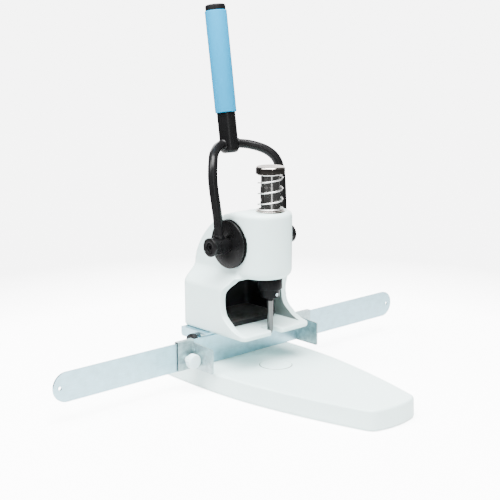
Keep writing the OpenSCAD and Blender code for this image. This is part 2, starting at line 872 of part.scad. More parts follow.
module ram_cap() {
    color("gainsboro")
        translate([0, 0, cap_z])
            difference() {
                rotate_extrude($fn = round_fn)
                    polygon([[0, 0], [cap_r - cap_edge_r / 2, 0], [cap_r, cap_edge_r / 2],
                        [cap_r, cap_h - cap_edge_r], [cap_r - cap_edge_r, cap_h], [0, cap_h]]);
                translate([0, 0, -over]) {
                    cylinder(r = ram_top_r, h = cap_h - cap_roof_t + over, $fn = round_fn);
                    difference() {
                        cylinder(r = cap_seat_r, h = cap_seat_h + over, $fn = round_fn);
                        cylinder(r = ram_neck_r, h = cap_seat_h + over, $fn = round_fn);
                    }
                }
            }
}

module bit_holder() {
    color("#242426")
        difference() {
            rotate_extrude($fn = round_fn)
                polygon([
                    [0, nose_z], [nose_r, nose_z], [nose_r, nose_top_z],
                    [holder_r - collar_chamfer, nose_top_z],
                    [holder_r, nose_top_z + collar_chamfer], [holder_r, holder_mid_z],
                    [collar_r - collar_chamfer, holder_mid_z],
                    [collar_r, holder_mid_z + collar_chamfer],
                    [collar_r, holder_top_z - collar_chamfer],
                    [collar_r - collar_chamfer, holder_top_z], [0, holder_top_z]]);
            translate([0, 0, holder_top_z - ram_stud_h])
                cylinder(r = ram_stud_r, h = ram_stud_h + over, $fn = round_fn);
            translate([0, 0, nose_z - over])
                cylinder(r = bit_r, h = bit_shank_h + over, $fn = round_fn);
            translate([0, 0, clamp_z])
                to_front() rod_x(clamp_r, bit_r / 2, 2 * holder_r);
        }
}

module punch_bit() {
    height = nose_z + bit_shank_h - bit_tip_z;
    color("darkgray")
        translate([0, 0, bit_tip_z])
            difference() {
                rotate_extrude($fn = round_fn)
                    polygon([
                        [bit_bore_r, 0], [bit_bore_r + bit_tip_wall, 0],
                        [bit_r, bit_tip_taper], [bit_r, height], [bit_bore_r, height]]);
                translate([0, 0, clamp_z - bit_tip_z])
                    to_front() rod_x(clamp_r, bit_bore_r - bit_tip_wall, 2 * bit_r);
            }
}

module bit_clamp_screw() {
    end = holder_r + clamp_proud;
    color("silver")
        translate([0, 0, clamp_z])
            to_front()
                difference() {
                    rod_x(clamp_r, bit_bore_r + fit_gap, end);
                    rod_x(clamp_r * hex_share, end - clamp_r, end + over, 6);
                }
}

// Lever
module lever_hub() {
    difference() {
        turned_x([
            [0, hub_x], [hub_neck_r, hub_x], [hub_neck_r, hub_x + hub_neck_len],
            [hub_r, hub_x + hub_neck_len], [hub_r, hub_end_x - hub_end_len],
            [hub_end_r, hub_end_x - hub_end_len + (hub_end_r - hub_r)],
            [hub_end_r, hub_end_x - (hub_end_r - hub_r)],
            [hub_r, hub_end_x], [0, hub_end_x]]);
        rod_x(shaft_r, hub_x - over, shaft_end_x);
        rod_x(end_screw_r, shaft_end_x - over, hub_end_x);
        rod_x(end_screw_head_r + loose_gap, hub_end_x - end_seat_h, hub_end_x + over);
    }
}

module right_lever_hub() {
    color("#232325")
        translate([0, shaft_y, shaft_z]) lever_hub();
}

module left_lever_hub() {
    color("#232325")
        translate([0, shaft_y, shaft_z]) mirror([1, 0, 0]) lever_hub();
}

module hub_end_screws() {
    color("#3a3a3c")
        translate([0, shaft_y, shaft_z])
            for (side = [0, 1])
                mirror([side, 0, 0])
                    difference() {
                        union() {
                            rod_x(end_screw_r, shaft_end_x - end_screw_len, hub_end_x - end_seat_h);
                            rod_x(end_screw_head_r, hub_end_x - end_seat_h,
                                hub_end_x - end_seat_h + end_screw_head_h);
                        }
                        rod_x(end_screw_head_r * hex_share,
                            hub_end_x - end_seat_h + end_screw_head_h / 2, hub_end_x, 6);
                    }
}

// Catmull-Rom point between b and c
function blend_point(a, b, c, d, t) = 0.5 * (2 * b + (c - a) * t
    + (2 * a - 5 * b + 4 * c - d) * t * t + (3 * b - a - 3 * c + d) * t * t * t);

fork_corners = [for (p = fork_route_shares)
    [p[0] * fork_half_w, p[1] * fork_setback, p[2] * fork_rise]];

function smooth_route(points) = let (n = len(points)) concat(
    [for (i = [0:n - 2], s = [0:route_steps - 1])
        blend_point(points[max(0, i - 1)], points[i], points[i + 1],
            points[min(n - 1, i + 2)], s / route_steps)],
    [points[n - 1]]);

fork_route = smooth_route(fork_corners);
// Unit vector square to the plane in which the fork mainly lies
fork_normal = [0, fork_rise, -fork_setback] / norm([0, fork_rise, -fork_setback]);

function route_tangent(points, i) = let (n = len(points),
    d = points[min(n - 1, i + 1)] - points[max(0, i - 1)]) d / norm(d);

function rod_ring(points, i, r) =
    let (d = route_tangent(points, i), u = cross(d, fork_normal), v = cross(d, u / norm(u)))
    [for (k = [0:rod_sides - 1]) let (a = 360 * k / rod_sides)
        points[i] + r * (cos(a) * u / norm(u) + sin(a) * v)];

// One leg of the fork, from its hub to the tube that it is welded to
module fork_leg() {
    difference() {
        translate([0, shaft_y, shaft_z])
            difference() {
                loft([for (i = [0:len(fork_route) - 1]) rod_ring(fork_route, i, rod_r)]);
                rod_x(hub_r + weld_gap, 0, 2 * fork_half_w);
            }
        on_tube() cylinder(r = tube_r + weld_gap, h = tube_len, $fn = round_fn);
    }
}

module right_fork_leg() {
    color("#1e1e20") fork_leg();
}

module left_fork_leg() {
    color("#1e1e20") mirror([1, 0, 0]) fork_leg();
}

// Places a piece on the lever tube's axis, with +Z along the tube from its foot
module on_tube() {
    foot = tube_foot_gap / cos(tube_lean);
    translate([0, shaft_y + fork_setback, shaft_z + fork_rise])
        rotate([-tube_lean, 0, 0])
            translate([0, 0, -foot]) children();
}

module lever_tube() {
    color("#1e1e20")
        on_tube()
            rotate_extrude($fn = round_fn)
                polygon([
                    [tube_r - tube_wall, 0], [tube_r - foot_chamfer, 0], [tube_r, foot_chamfer],
                    [tube_r, tube_len], [tube_r - tube_wall, tube_len]]);
}

module handle_grip() {
    color("#80c4e2")
        on_tube()
            translate([0, 0, grip_start])
                rotate_extrude($fn = round_fn)
                    polygon([
                        [tube_r + grip_wall_gap, 0], [grip_r - grip_taper - grip_edge_r, 0],
                        [grip_r - grip_taper, grip_edge_r], [grip_r, grip_len - grip_edge_r],
                        [grip_r - grip_edge_r, grip_len], [tube_r + grip_wall_gap, grip_len]]);
}

module grip_end_cap() {
    color("#1a1a1c")
        on_tube()
            translate([0, 0, tube_len])
                rotate_extrude($fn = round_fn)
                    polygon([
                        [0, -end_plug_len], [tube_r - tube_wall - fit_gap, -end_plug_len],
                        [tube_r - tube_wall - fit_gap, 0], [end_cap_r, 0],
                        [end_cap_r, end_cap_len - end_cap_edge_r],
                        [end_cap_r - end_cap_edge_r, end_cap_len], [0, end_cap_len]]);
}

// Back gauge
module gauge_bar() {
    r = bar_h / 2;
    color("#b9c9d2")
        translate([0, gauge_y + bar_t, bar_z + r])
            rotate([90, 0, 0])
                difference() {
                    union() {
                        translate([r - bar_len / 2, -r, 0]) cube([bar_len - bar_h, bar_h, bar_t]);
                        for (side = [-1, 1])
                            translate([side * (bar_len / 2 - r), 0, 0])
                                cylinder(r = r, h = bar_t, $fn = round_fn);
                    }
                    for (side = [-1, 1])
                        translate([side * (bar_len / 2 - bar_hole_inset), 0, -over])
                            cylinder(r = bar_hole_r, h = bar_t + 2 * over, $fn = round_fn);
                    for (x = rivet_x)
                        translate([x, rivet_z - bar_z - r, -over])
                            cylinder(r = rivet_r, h = bar_t + 2 * over, $fn = round_fn);
                }
}

module bar_rivets() {
    color("lightgray")
        for (x = rivet_x)
            translate([x, slide_y + slide_t, rivet_z])
                rotate([90, 0, 0]) {
                    cylinder(r = rivet_r, h = bar_t + slide_t, $fn = round_fn);
                    translate([0, 0, -rivet_head_t])
                        cylinder(r = 2 * rivet_r, h = rivet_head_t, $fn = round_fn);
                }
}

module slot_hole(x) {
    y0 = slot_screw_y - slot_back;
    y1 = slot_screw_y + slot_forward;
    r = slot_screw_r + loose_gap;
    translate([x, y0, slide_z - over])
        cylinder(r = r, h = slide_t + 2 * over, $fn = round_fn);
    translate([x, y1, slide_z - over])
        cylinder(r = r, h = slide_t + 2 * over, $fn = round_fn);
    translate([x - r, y0, slide_z - over])
        cube([2 * r, y1 - y0, slide_t + 2 * over]);
}

// Side tab that carries the lock screw, drawn as [Y, Z]
module lock_tab_outline() {
    rear = slide_y + slide_len;
    polygon(concat(
        [[tab_front_y, slide_top_z], [tab_front_y, slide_z]],
        arc_points(lock_y, lock_z, tab_r, 180, 360, 2 * corner_steps),
        arc_points(rear - slide_corner_r / 2, slide_top_z - tab_rear_drop + slide_corner_r / 2,
            slide_corner_r / 2, -90, 0, fillet_steps),
        [[rear, slide_top_z]]));
}

module gauge_slide() {
    color("#aebfc9")
        difference() {
            union() {
                // Flat plate under the frame
                translate([-slide_half_w, slide_y, slide_z])
                    cube([2 * slide_half_w, slide_len, slide_t]);
                // Web behind the bar
                translate([-slide_web_half_w, slide_y, slide_web_z])
                    cube([2 * slide_web_half_w, slide_t, slide_z - slide_web_z + slide_t / 2]);
                translate([slide_t / 2 - slide_half_w, 0, 0])
                    along_x(slide_t) lock_tab_outline();
            }
            // Window that lets the pedestal through
            translate([-pedestal_half_w - slide_window_gap, slide_y + slide_t, slide_z - over])
                cube([2 * (pedestal_half_w + slide_window_gap), slide_len, slide_t + 2 * over]);
            slot_hole(slot_screw_x);
            slot_hole(-slot_screw_x);
            translate([0, lock_y, lock_z])
                rod_x(lock_screw_r + fit_gap, -2 * slide_half_w, 0);
            for (x = rivet_x)
                translate([x, slide_y + slide_t + over, rivet_z])
                    rotate([90, 0, 0])
                        cylinder(r = rivet_r, h = slide_t + 2 * over, $fn = round_fn);
        }
}

module gauge_guide_screws() {
    color("silver")
        for (x = [-slot_screw_x, slot_screw_x])
            translate([x, slot_screw_y, slide_z - run_gap]) {
                cylinder(r = slot_screw_r, h = slide_t + 2 * run_gap + slot_screw_reach,
                    $fn = round_fn);
                translate([0, 0, -slot_screw_head_h])
                    cylinder(r = slot_screw_head_r, h = slot_screw_head_h, $fn = round_fn);
            }
}

module gauge_lock_screw() {
    color("gainsboro")
        translate([0, lock_y, lock_z]) {
            rod_x(lock_screw_r, -slide_half_w - lock_collar_t - lock_knob_t,
                -pedestal_half_w - run_gap);
            rod_x(lock_head_r, -slide_half_w - lock_collar_t - lock_knob_t - lock_head_t,
                -slide_half_w - lock_collar_t - lock_knob_t);
            rod_x(lock_collar_r, -slide_half_w - lock_collar_t, -slide_half_w - run_gap);
        }
}

module gauge_lock_knob() {
    color("#222224")
        translate([0, lock_y, lock_z])
            difference() {
                mirror([1, 0, 0])
                    turned_x([
                        [0, slide_half_w + lock_collar_t],
                        [lock_knob_r - collar_chamfer, slide_half_w + lock_collar_t],
                        [lock_knob_r, slide_half_w + lock_collar_t + collar_chamfer],
                        [lock_knob_r, slide_half_w + lock_collar_t + lock_knob_t - collar_chamfer],
                        [lock_knob_r - collar_chamfer, slide_half_w + lock_collar_t + lock_knob_t],
                        [0, slide_half_w + lock_collar_t + lock_knob_t]]);
                rod_x(lock_screw_r, -2 * slide_half_w, 0);
            }
}

// Paper guides. Drawn for the right side with the flange at X = 0, mirrored for the left.
module paper_guide() {
    hook_z = bar_top_z + run_gap;
    hook_y = gauge_y + bar_t + run_gap;
    front_y = guide_y - guide_t;
    difference() {
        union() {
            // Face in front of the bar
            translate([0, front_y, guide_z])
                cube([guide_w, guide_t, hook_z + guide_t - guide_z]);
            // Fold over the bar and lip behind it
            translate([0, front_y, hook_z])
                cube([guide_w, hook_y + guide_t - front_y, guide_t]);
            translate([0, hook_y, hook_z - guide_hook_h])
                cube([guide_w, guide_t, guide_hook_h + guide_t]);
            // Flange that the paper's side edge runs along
            translate([guide_t / 2, 0, 0])
                along_x(guide_t)
                    polygon(concat(
                        [[front_y + guide_t, guide_z], [front_y + guide_t, guide_flange_top_z]],
                        arc_points(gauge_y - guide_reach + guide_corner_r,
                            guide_flange_top_z - guide_front_drop - guide_corner_r,
                            guide_corner_r, 90, 180, fillet_steps),
                        [[gauge_y - guide_reach, guide_z]]));
        }
        translate([stud_x, front_y - over, stud_z])
            rotate([-90, 0, 0])
                cylinder(r = stud_r + fit_gap, h = guide_t + 2 * over, $fn = round_fn);
        // Relief hole at the bend
        translate([0, front_y - bend_hole_r, bend_hole_z])
            rod_x(bend_hole_r, -over, guide_t + over);
    }
}

module guide_stud() {
    translate([stud_x, guide_y, stud_z])
        rotate([90, 0, 0])
            cylinder(r = stud_r, h = guide_t + run_gap + thumb_neck_len + thumb_t / 2,
                $fn = round_fn);
}

module guide_knob() {
    height = thumb_neck_len + thumb_t;
    translate([stud_x, guide_y - guide_t - run_gap, stud_z])
        rotate([90, 0, 0])
            difference() {
                rotate_extrude($fn = round_fn)
                    polygon([
                        [stud_r, 0], [thumb_neck_r, 0], [thumb_neck_r, thumb_neck_len],
                        [thumb_r - thumb_edge_r, thumb_neck_len],
                        [thumb_r, thumb_neck_len + thumb_edge_r],
                        [thumb_r, height - thumb_edge_r], [thumb_r - thumb_edge_r, height],
                        [0, height], [0, height - thumb_t / 2], [stud_r, height - thumb_t / 2]]);
                for (i = [0:thumb_lobes - 1])
                    rotate([0, 0, 360 * i / thumb_lobes])
                        translate([thumb_r + thumb_lobe_r / 2, 0, thumb_neck_len - over])
                            cylinder(r = thumb_lobe_r, h = thumb_t + 2 * over, $fn = 24);
            }
}

module on_right_guide() {
    translate([right_guide_x, 0, 0]) children();
}

module on_left_guide() {
    mirror([1, 0, 0]) translate([left_guide_x, 0, 0]) children();
}

module right_paper_guide() {
    color("#b4c4cd") on_right_guide() paper_guide();
}

module left_paper_guide() {
    color("#b4c4cd") on_left_guide() paper_guide();
}

module right_guide_knob() {
    color("#dfe6e8") on_right_guide() guide_knob();
}

module left_guide_knob() {
    color("#dfe6e8") on_left_guide() guide_knob();
}

module right_guide_stud() {
    color("silver") on_right_guide() guide_stud();
}

module left_guide_stud() {
    color("silver") on_left_guide() guide_stud();
}

base_plate();
base_mat();
frame_casting();
throat_liner();
frame_bolts();
upper_ram_bush();
lower_ram_bush();
spring_washer();
return_spring();
left_bearing_flange();
right_bearing_flange();
gauge_guide_screws();
cross_shaft();
drive_pinion();
pinion_key();
left_lever_hub();
right_lever_hub();
hub_end_screws();
left_fork_leg();
right_fork_leg();
lever_tube();
handle_grip();
grip_end_cap();
ram();
ram_cap();
bit_holder();
punch_bit();
bit_clamp_screw();
cutting_pad();
gauge_bar();
gauge_slide();
bar_rivets();
gauge_lock_knob();
gauge_lock_screw();
left_paper_guide();
left_guide_knob();
left_guide_stud();
right_paper_guide();
right_guide_knob();
right_guide_stud();
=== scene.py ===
"""Looks of the heavy duty single hole punch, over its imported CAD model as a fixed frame.

Metres in the model's own frame: +Z is up, the front faces -Y, +X is the viewer's right, and
the punch axis stands at X = 0, Y = 0 on the plane that the rubber mat rests on.
"""
import json
import logging
import math
from dataclasses import dataclass
from enum import Enum
from typing import Callable, Iterable, Optional, Protocol, Sequence, Union

import bmesh
import bpy
from mathutils import Matrix, Vector

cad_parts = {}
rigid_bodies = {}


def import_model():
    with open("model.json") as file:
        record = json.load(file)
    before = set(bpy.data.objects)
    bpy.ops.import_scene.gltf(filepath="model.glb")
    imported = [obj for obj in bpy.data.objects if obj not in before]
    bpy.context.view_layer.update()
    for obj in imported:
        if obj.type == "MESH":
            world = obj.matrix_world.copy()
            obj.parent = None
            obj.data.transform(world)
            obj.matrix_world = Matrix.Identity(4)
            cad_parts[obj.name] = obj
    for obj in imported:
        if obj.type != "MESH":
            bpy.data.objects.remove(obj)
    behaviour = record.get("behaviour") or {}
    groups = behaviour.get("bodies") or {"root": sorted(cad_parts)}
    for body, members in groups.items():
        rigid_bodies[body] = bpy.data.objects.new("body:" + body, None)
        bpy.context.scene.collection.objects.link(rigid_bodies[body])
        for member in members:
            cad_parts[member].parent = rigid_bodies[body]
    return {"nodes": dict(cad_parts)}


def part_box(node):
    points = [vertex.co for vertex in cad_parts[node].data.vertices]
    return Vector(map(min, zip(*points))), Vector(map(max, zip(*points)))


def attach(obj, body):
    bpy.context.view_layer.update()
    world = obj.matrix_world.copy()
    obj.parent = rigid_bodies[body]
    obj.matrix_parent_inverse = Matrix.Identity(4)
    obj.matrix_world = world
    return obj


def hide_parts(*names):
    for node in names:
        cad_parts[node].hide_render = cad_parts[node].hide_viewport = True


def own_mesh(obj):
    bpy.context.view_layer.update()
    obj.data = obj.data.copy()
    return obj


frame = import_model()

log = logging.getLogger("hole_punch")

MM = 0.001
FULL_TURN = 2 * math.pi
# Vertices this close are one, and places this close count as the same place
MERGE_DISTANCE = 0.002 * MM
NEAR = 0.1 * MM
# Faces that differ by less than this angle are one flat face
FLAT_ANGLE = math.radians(0.4)
# Least angle of an edge that is rounded, on turned pieces and on cut ones, in degrees
TURNED_EDGE = 50.0
CUT_EDGE = 40.0
# Greatest angle that is shaded smooth on flat pieces, discs, wires and castings, in degrees
SMOOTH_FLAT = 35.0
SMOOTH_DISC = 40.0
SMOOTH_WIRE = 60.0
SMOOTH_CASTING = 180.0

Point = tuple[float, float, float]
Colour = tuple[float, float, float]
Pair = tuple[float, float]

ORIGIN: Point = (0, 0, 0)


class Axis(Enum):
    """Axis that a turned piece is spun round."""

    X = "X"
    Y = "Y"
    Z = "Z"

    @property
    def turn(self) -> Matrix:
        """Rotation to this axis.

        Returns:
            The rotation that takes +Z to it.
        """
        if self is Axis.X:
            return Matrix.Rotation(math.pi / 2, 4, "Y")
        if self is Axis.Y:
            return Matrix.Rotation(-math.pi / 2, 4, "X")
        return Matrix.Identity(4)


class Side(Enum):
    """Side of the machine, as the viewer in front sees it."""

    LEFT = "left"
    RIGHT = "right"


# Materials


class Shader:
    """A material under construction, round one Principled shader."""

    def __init__(self, name: str) -> None:
        """Starts an empty material.

        Args:
            name: Name of the material.
        """
        self.material = bpy.data.materials.new(name)
        self.material.use_nodes = True
        self.tree = self.material.node_tree
        self.surface = self.tree.nodes["Principled BSDF"]

    def constants(self, **values: Union[float, Colour]) -> None:
        """Sets the shader's own sockets.

        Args:
            **values: Socket names with underscores for blanks, and their values.
        """
        for key, value in values.items():
            socket = self.surface.inputs[key.replace("_", " ").title().replace("Ior", "IOR")]
            socket.default_value = (*value, 1.0) if isinstance(value, tuple) else value

    def node(self, kind: str, **settings: object) -> bpy.types.Node:
        """Adds a node.

        Args:
            kind: Blender's class name of the node, without its ShaderNode prefix.
            **settings: Attributes of the node.

        Returns:
            The new node.
        """
        node = self.tree.nodes.new("ShaderNode" + kind)
        for key, value in settings.items():
            setattr(node, key, value)
        return node

    def link(self, source: bpy.types.NodeSocket, target: bpy.types.NodeSocket) -> None:
        """Links two sockets."""
        self.tree.links.new(source, target)

    def place(self, scale: Point = (1, 1, 1)) -> bpy.types.NodeSocket:
        """Object coordinates, scaled.

        Args:
            scale: Scale of the pattern along each axis.

        Returns:
            The socket with the placed coordinates.
        """
        source = self.node("TexCoord").outputs["Object"]
        mapping = self.node("Mapping", vector_type="TEXTURE")
        mapping.inputs["Scale"].default_value = tuple(1 / s for s in scale)
        self.link(source, mapping.inputs["Vector"])
        return mapping.outputs["Vector"]

    def noise(self, place: bpy.types.NodeSocket, scale: float, detail: float = 3.0,
              roughness: float = 0.5) -> bpy.types.NodeSocket:
        """Adds a noise pattern.

        Args:
            place: Coordinates of the pattern.
            scale: Cells per metre.
            detail: Octaves of the noise.
            roughness: Weight of the finer octaves.

        Returns:
            The factor of the noise.
        """
        noise = self.node("TexNoise")
        noise.inputs["Scale"].default_value = scale
        noise.inputs["Detail"].default_value = detail
        noise.inputs["Roughness"].default_value = roughness
        self.link(place, noise.inputs["Vector"])
        return noise.outputs["Fac"]

    def spread(self, factor: bpy.types.NodeSocket, low: float, high: float,
               start: float = 0.3, end: float = 0.7) -> bpy.types.NodeSocket:
        """Spreads a factor over a range of values.

        Args:
            factor: The factor.
            low: Value at start.
            high: Value at end.
            start: Factor that gives the low value.
            end: Factor that gives the high value.

        Returns:
            The socket with the spread value.
        """
        remap = self.node("MapRange")
        for key, value in (("From Min", start), ("From Max", end),
                           ("To Min", low), ("To Max", high)):
            remap.inputs[key].default_value = value
        self.link(factor, remap.inputs["Value"])
        return remap.outputs["Result"]

    def blend(self, factor: bpy.types.NodeSocket, first: Colour, second: Colour,
              start: float = 0.35, end: float = 0.65) -> bpy.types.NodeSocket:
        """Blends two colours by a factor.

        Args:
            factor: The factor.
            first: Colour at start.
            second: Colour at end.
            start: Factor that gives the first colour.
            end: Factor that gives the second colour.

        Returns:
            The colour socket.
        """
        ramp = self.node("ValToRGB")
        stops = ramp.color_ramp.elements
        stops[0].position, stops[0].color = start, (*first, 1.0)
        stops[1].position, stops[1].color = end, (*second, 1.0)
        self.link(factor, ramp.inputs["Fac"])
        return ramp.outputs["Color"]

    def relief(self, height: bpy.types.NodeSocket, depth: float,
               below: Optional[bpy.types.NodeSocket] = None) -> bpy.types.NodeSocket:
        """Adds a bump.

        Args:
            height: Height pattern from 0 to 1.
            depth: Depth of the relief in metres.
            below: Normal of a relief that this one lies on.

        Returns:
            The normal socket.
        """
        bump = self.node("Bump")
        bump.inputs["Strength"].default_value = 1.0
        bump.inputs["Distance"].default_value = depth
        self.link(height, bump.inputs["Height"])
        if below is not None:
            self.link(below, bump.inputs["Normal"])
        return bump.outputs["Normal"]

    def dressed(self, colour: bpy.types.NodeSocket, roughness: bpy.types.NodeSocket,
                normal: bpy.types.NodeSocket) -> bpy.types.Material:
        """Links the three patterns of a finish to the shader.

        Args:
            colour: Pattern of its colour.
            roughness: Pattern of its roughness.
            normal: Normal of its relief.

        Returns:
            The finished material.
        """
        for key, source in (("Base Color", colour), ("Roughness", roughness),
                            ("Normal", normal)):
            self.link(source, self.surface.inputs[key])
        return self.material


def lighter(colour: Colour, by: float) -> Colour:
    """Colour with each part multiplied, by less than 1 for a darker one."""
    return tuple(min(1.0, part * by) for part in colour)


@dataclass(frozen=True)
class Enamel:
    """Sprayed and stoved paint, with the slight orange peel of its film."""

    name: str
    colour: Colour
    roughness: float
    coat: float = 0.0
    coat_roughness: float = 0.12
    gloss: float = 0.2
    ior: float = 1.5
    mottle: float = 0.03
    mottle_cells: float = 28.0
    sheen_cells: float = 90.0
    sheen_shares: Pair = (0.85, 1.2)
    peel_cells: float = 420.0
    peel_depth: float = 0.00003

    def material(self) -> bpy.types.Material:
        """Builds the paint.

        Returns:
            Its material.
        """
        s = Shader(self.name)
        s.constants(coat_weight=self.coat, coat_roughness=self.coat_roughness, ior=self.ior,
                    specular_ior_level=self.gloss)
        place = s.place()
        colour = s.blend(s.noise(place, self.mottle_cells),
                         lighter(self.colour, 1 - self.mottle), self.colour)
        sheen = s.spread(s.noise(place, self.sheen_cells, detail=4),
                         *(self.roughness * share for share in self.sheen_shares))
        peel = s.relief(s.noise(place, self.peel_cells, detail=2, roughness=0.4),
                        self.peel_depth)
        return s.dressed(colour, sheen, peel)


@dataclass(frozen=True)
class RolledSheet:
    """Zinc coated steel sheet, rolled along one axis."""

    name: str
    colour: Colour
    roughness: float = 0.36
    metallic: float = 0.92
    anisotropy: float = 0.35
    contrast: float = 0.2
    # Scale of the streaks, which run along X
    rolled: Point = (6, 90, 90)
    streak_cells: float = 14.0
    streak_share: float = 0.4
    streak_depth: float = 0.00001
    spangle_cells: float = 110.0
    spangle_share: float = 0.6
    sheen_shares: Pair = (0.8, 1.25)
    grain_cells: float = 700.0
    grain_depth: float = 0.000006

    def material(self) -> bpy.types.Material:
        """Builds the sheet metal.

        Returns:
            Its material.
        """
        s = Shader(self.name)
        s.constants(metallic=self.metallic, anisotropic=self.anisotropy)
        streaks = s.noise(s.place(self.rolled), self.streak_cells, detail=4, roughness=0.6)
        spangle = s.noise(s.place(), self.spangle_cells, detail=4, roughness=0.55)
        tone = s.node("Math", operation="MULTIPLY_ADD")
        tone.inputs[1].default_value = self.spangle_share
        s.link(spangle, tone.inputs[0])
        weight = s.node("Math", operation="MULTIPLY")
        weight.inputs[1].default_value = self.streak_share
        s.link(streaks, weight.inputs[0])
        s.link(weight.outputs[0], tone.inputs[2])
        colour = s.blend(tone.outputs[0], lighter(self.colour, 1 - self.contrast),
                         lighter(self.colour, 1 + self.contrast / 2))
        sheen = s.spread(tone.outputs[0],
                         *(self.roughness * share for share in self.sheen_shares))
        grain = s.relief(s.noise(s.place(), self.grain_cells, detail=2), self.grain_depth,
                         below=s.relief(streaks, self.streak_depth))
        return s.dressed(colour, sheen, grain)


@dataclass(frozen=True)
class TurnedMetal:
    """Metal turned on a lathe, with fine tool rings along its axis."""

    name: str
    colour: Colour
    roughness: float
    axis: Axis = Axis.Z
    metallic: float = 1.0
    gloss: float = 0.5
    rings: float = 260.0
    ring_depth: float = 0.000006
    ring_distortion: float = 1.5
    cloud_cells: float = 120.0
    cloud_shares: Pair = (0.9, 1.05)
    sheen_shares: Pair = (0.8, 1.3)
    # Roughness that a faced end adds, and the upward slope that counts as one
    faced: float = 0.0
    faced_slope: Pair = (0.85, 0.99)

    def material(self) -> bpy.types.Material:
        """Builds the turned metal.

        Returns:
            Its material.
        """
        s = Shader(self.name)
        s.constants(metallic=self.metallic, specular_ior_level=self.gloss)
        place = s.place()
        wave = s.node("TexWave", wave_type="BANDS", bands_direction=self.axis.value)
        wave.inputs["Scale"].default_value = self.rings
        wave.inputs["Distortion"].default_value = self.ring_distortion
        wave.inputs["Detail"].default_value = 2
        s.link(place, wave.inputs["Vector"])
        cloud = s.noise(place, self.cloud_cells, detail=4)
        colour = s.blend(cloud, *(lighter(self.colour, share) for share in self.cloud_shares))
        sheen = s.spread(cloud, *(self.roughness * share for share in self.sheen_shares))
        if self.faced:
            up = s.node("SeparateXYZ")
            s.link(s.node("NewGeometry").outputs["Normal"], up.inputs[0])
            added = s.node("Math", operation="ADD")
            s.link(sheen, added.inputs[0])
            s.link(s.spread(up.outputs["Z"], 0, self.faced, *self.faced_slope),
                   added.inputs[1])
            sheen = added.outputs[0]
        return s.dressed(colour, sheen, s.relief(wave.outputs["Fac"], self.ring_depth))


@dataclass(frozen=True)
class Moulded:
    """Moulded plastic, vinyl or rubber with a fine grain."""

    name: str
    colour: Colour
    roughness: float
    gloss: float = 0.5
    ior: float = 1.46
    softness: float = 0.0
    scatter_depth: float = 2 * MM
    mottle: float = 0.05
    mottle_cells: float = 35.0
    sheen_cells: float = 150.0
    sheen_shares: Pair = (0.85, 1.15)
    grain_cells: float = 900.0
    grain_depth: float = 0.00002

    def material(self) -> bpy.types.Material:
        """Builds the moulding.

        Returns:
            Its material.
        """
        s = Shader(self.name)
        s.constants(subsurface_weight=self.softness, subsurface_scale=self.scatter_depth,
                    specular_ior_level=self.gloss, ior=self.ior)
        place = s.place()
        colour = s.blend(s.noise(place, self.mottle_cells),
                         lighter(self.colour, 1 - self.mottle), self.colour)
        sheen = s.spread(s.noise(place, self.sheen_cells),
                         *(self.roughness * share for share in self.sheen_shares))
        grain = s.relief(s.noise(place, self.grain_cells, detail=2), self.grain_depth)
        return s.dressed(colour, sheen, grain)


Finish = Union[Enamel, RolledSheet, TurnedMetal, Moulded]


class Finishes:
    """The finishes of the machine."""

    white_enamel = Enamel("white_enamel", (0.64, 0.80, 0.79), 0.34, coat=0.15, gloss=0.3)
    black_enamel = Enamel("black_enamel", (0.0045, 0.0045, 0.0048), 0.28, gloss=0.14,
                          peel_depth=0.000008)
    black_lining = Enamel("black_lining", (0.007, 0.007, 0.0075), 0.5)
    # Lighter, mottled black that stands for painted light on the lining's upward faces
    painted_light_floor = Enamel("painted_light_floor", (0.034, 0.032, 0.031), 0.5, mottle=0.3)
    # Grey that stands for painted shade on the throat's inner walls and round the pad's groove,
    # with a coarse cast relief
    painted_shade_grey = Enamel("painted_shade_grey", (0.20, 0.24, 0.235), 0.6, mottle=0.3,
                           peel_cells=900.0, peel_depth=0.00008)
    dark_steel = TurnedMetal("dark_steel", (0.003, 0.003, 0.0035), 0.36, metallic=0.0,
                             gloss=0.06)
    ground_steel = TurnedMetal("ground_steel", (0.27, 0.27, 0.265), 0.2)
    gear_steel = TurnedMetal("gear_steel", (0.32, 0.33, 0.35), 0.4, Axis.X)
    tool_steel = TurnedMetal("tool_steel", (0.11, 0.11, 0.11), 0.34)
    spring_steel = TurnedMetal("spring_steel", (0.78, 0.78, 0.77), 0.34)
    polished_chrome = TurnedMetal("polished_chrome", (0.5, 0.46, 0.43), 0.05, faced=0.4,
                                  ring_depth=0.000001)
    zinc_sheet = RolledSheet("zinc_sheet", (0.36, 0.56, 0.64))
    guide_sheet = RolledSheet("guide_sheet", (0.34, 0.44, 0.455), spangle_cells=220.0,
                              contrast=0.36)
    # Near black that stands for painted shade along the guides' cut edges
    painted_shade_edge = RolledSheet("painted_shade_edge", (0.022, 0.025, 0.025))
    zinc_plate = TurnedMetal("zinc_plate", (0.6, 0.74, 0.78), 0.28, Axis.X)
    bronze = TurnedMetal("bronze", (0.55, 0.38, 0.17), 0.3)
    blue_vinyl = Moulded("blue_vinyl", (0.001, 0.235, 0.45), 0.5, gloss=0.05)
    black_plastic = Moulded("black_plastic", (0.004, 0.004, 0.0045), 0.5, gloss=0.15)
    pale_plastic = Moulded("pale_plastic", (0.60, 0.78, 0.80), 0.4, softness=0.1)
    white_nylon = Moulded("white_nylon", (0.64, 0.80, 0.79), 0.5, softness=0.08)
    black_rubber = Moulded("black_rubber", (0.02, 0.02, 0.021), 0.8, gloss=0.2)

    _made: dict[str, bpy.types.Material] = {}

    @classmethod
    def material(cls, finish: Finish) -> bpy.types.Material:
        """Material of a finish, built once.

        Args:
            finish: The finish.

        Returns:
            Its material.
        """
        if finish.name not in cls._made:
            cls._made[finish.name] = finish.material()
        return cls._made[finish.name]


# Meshes


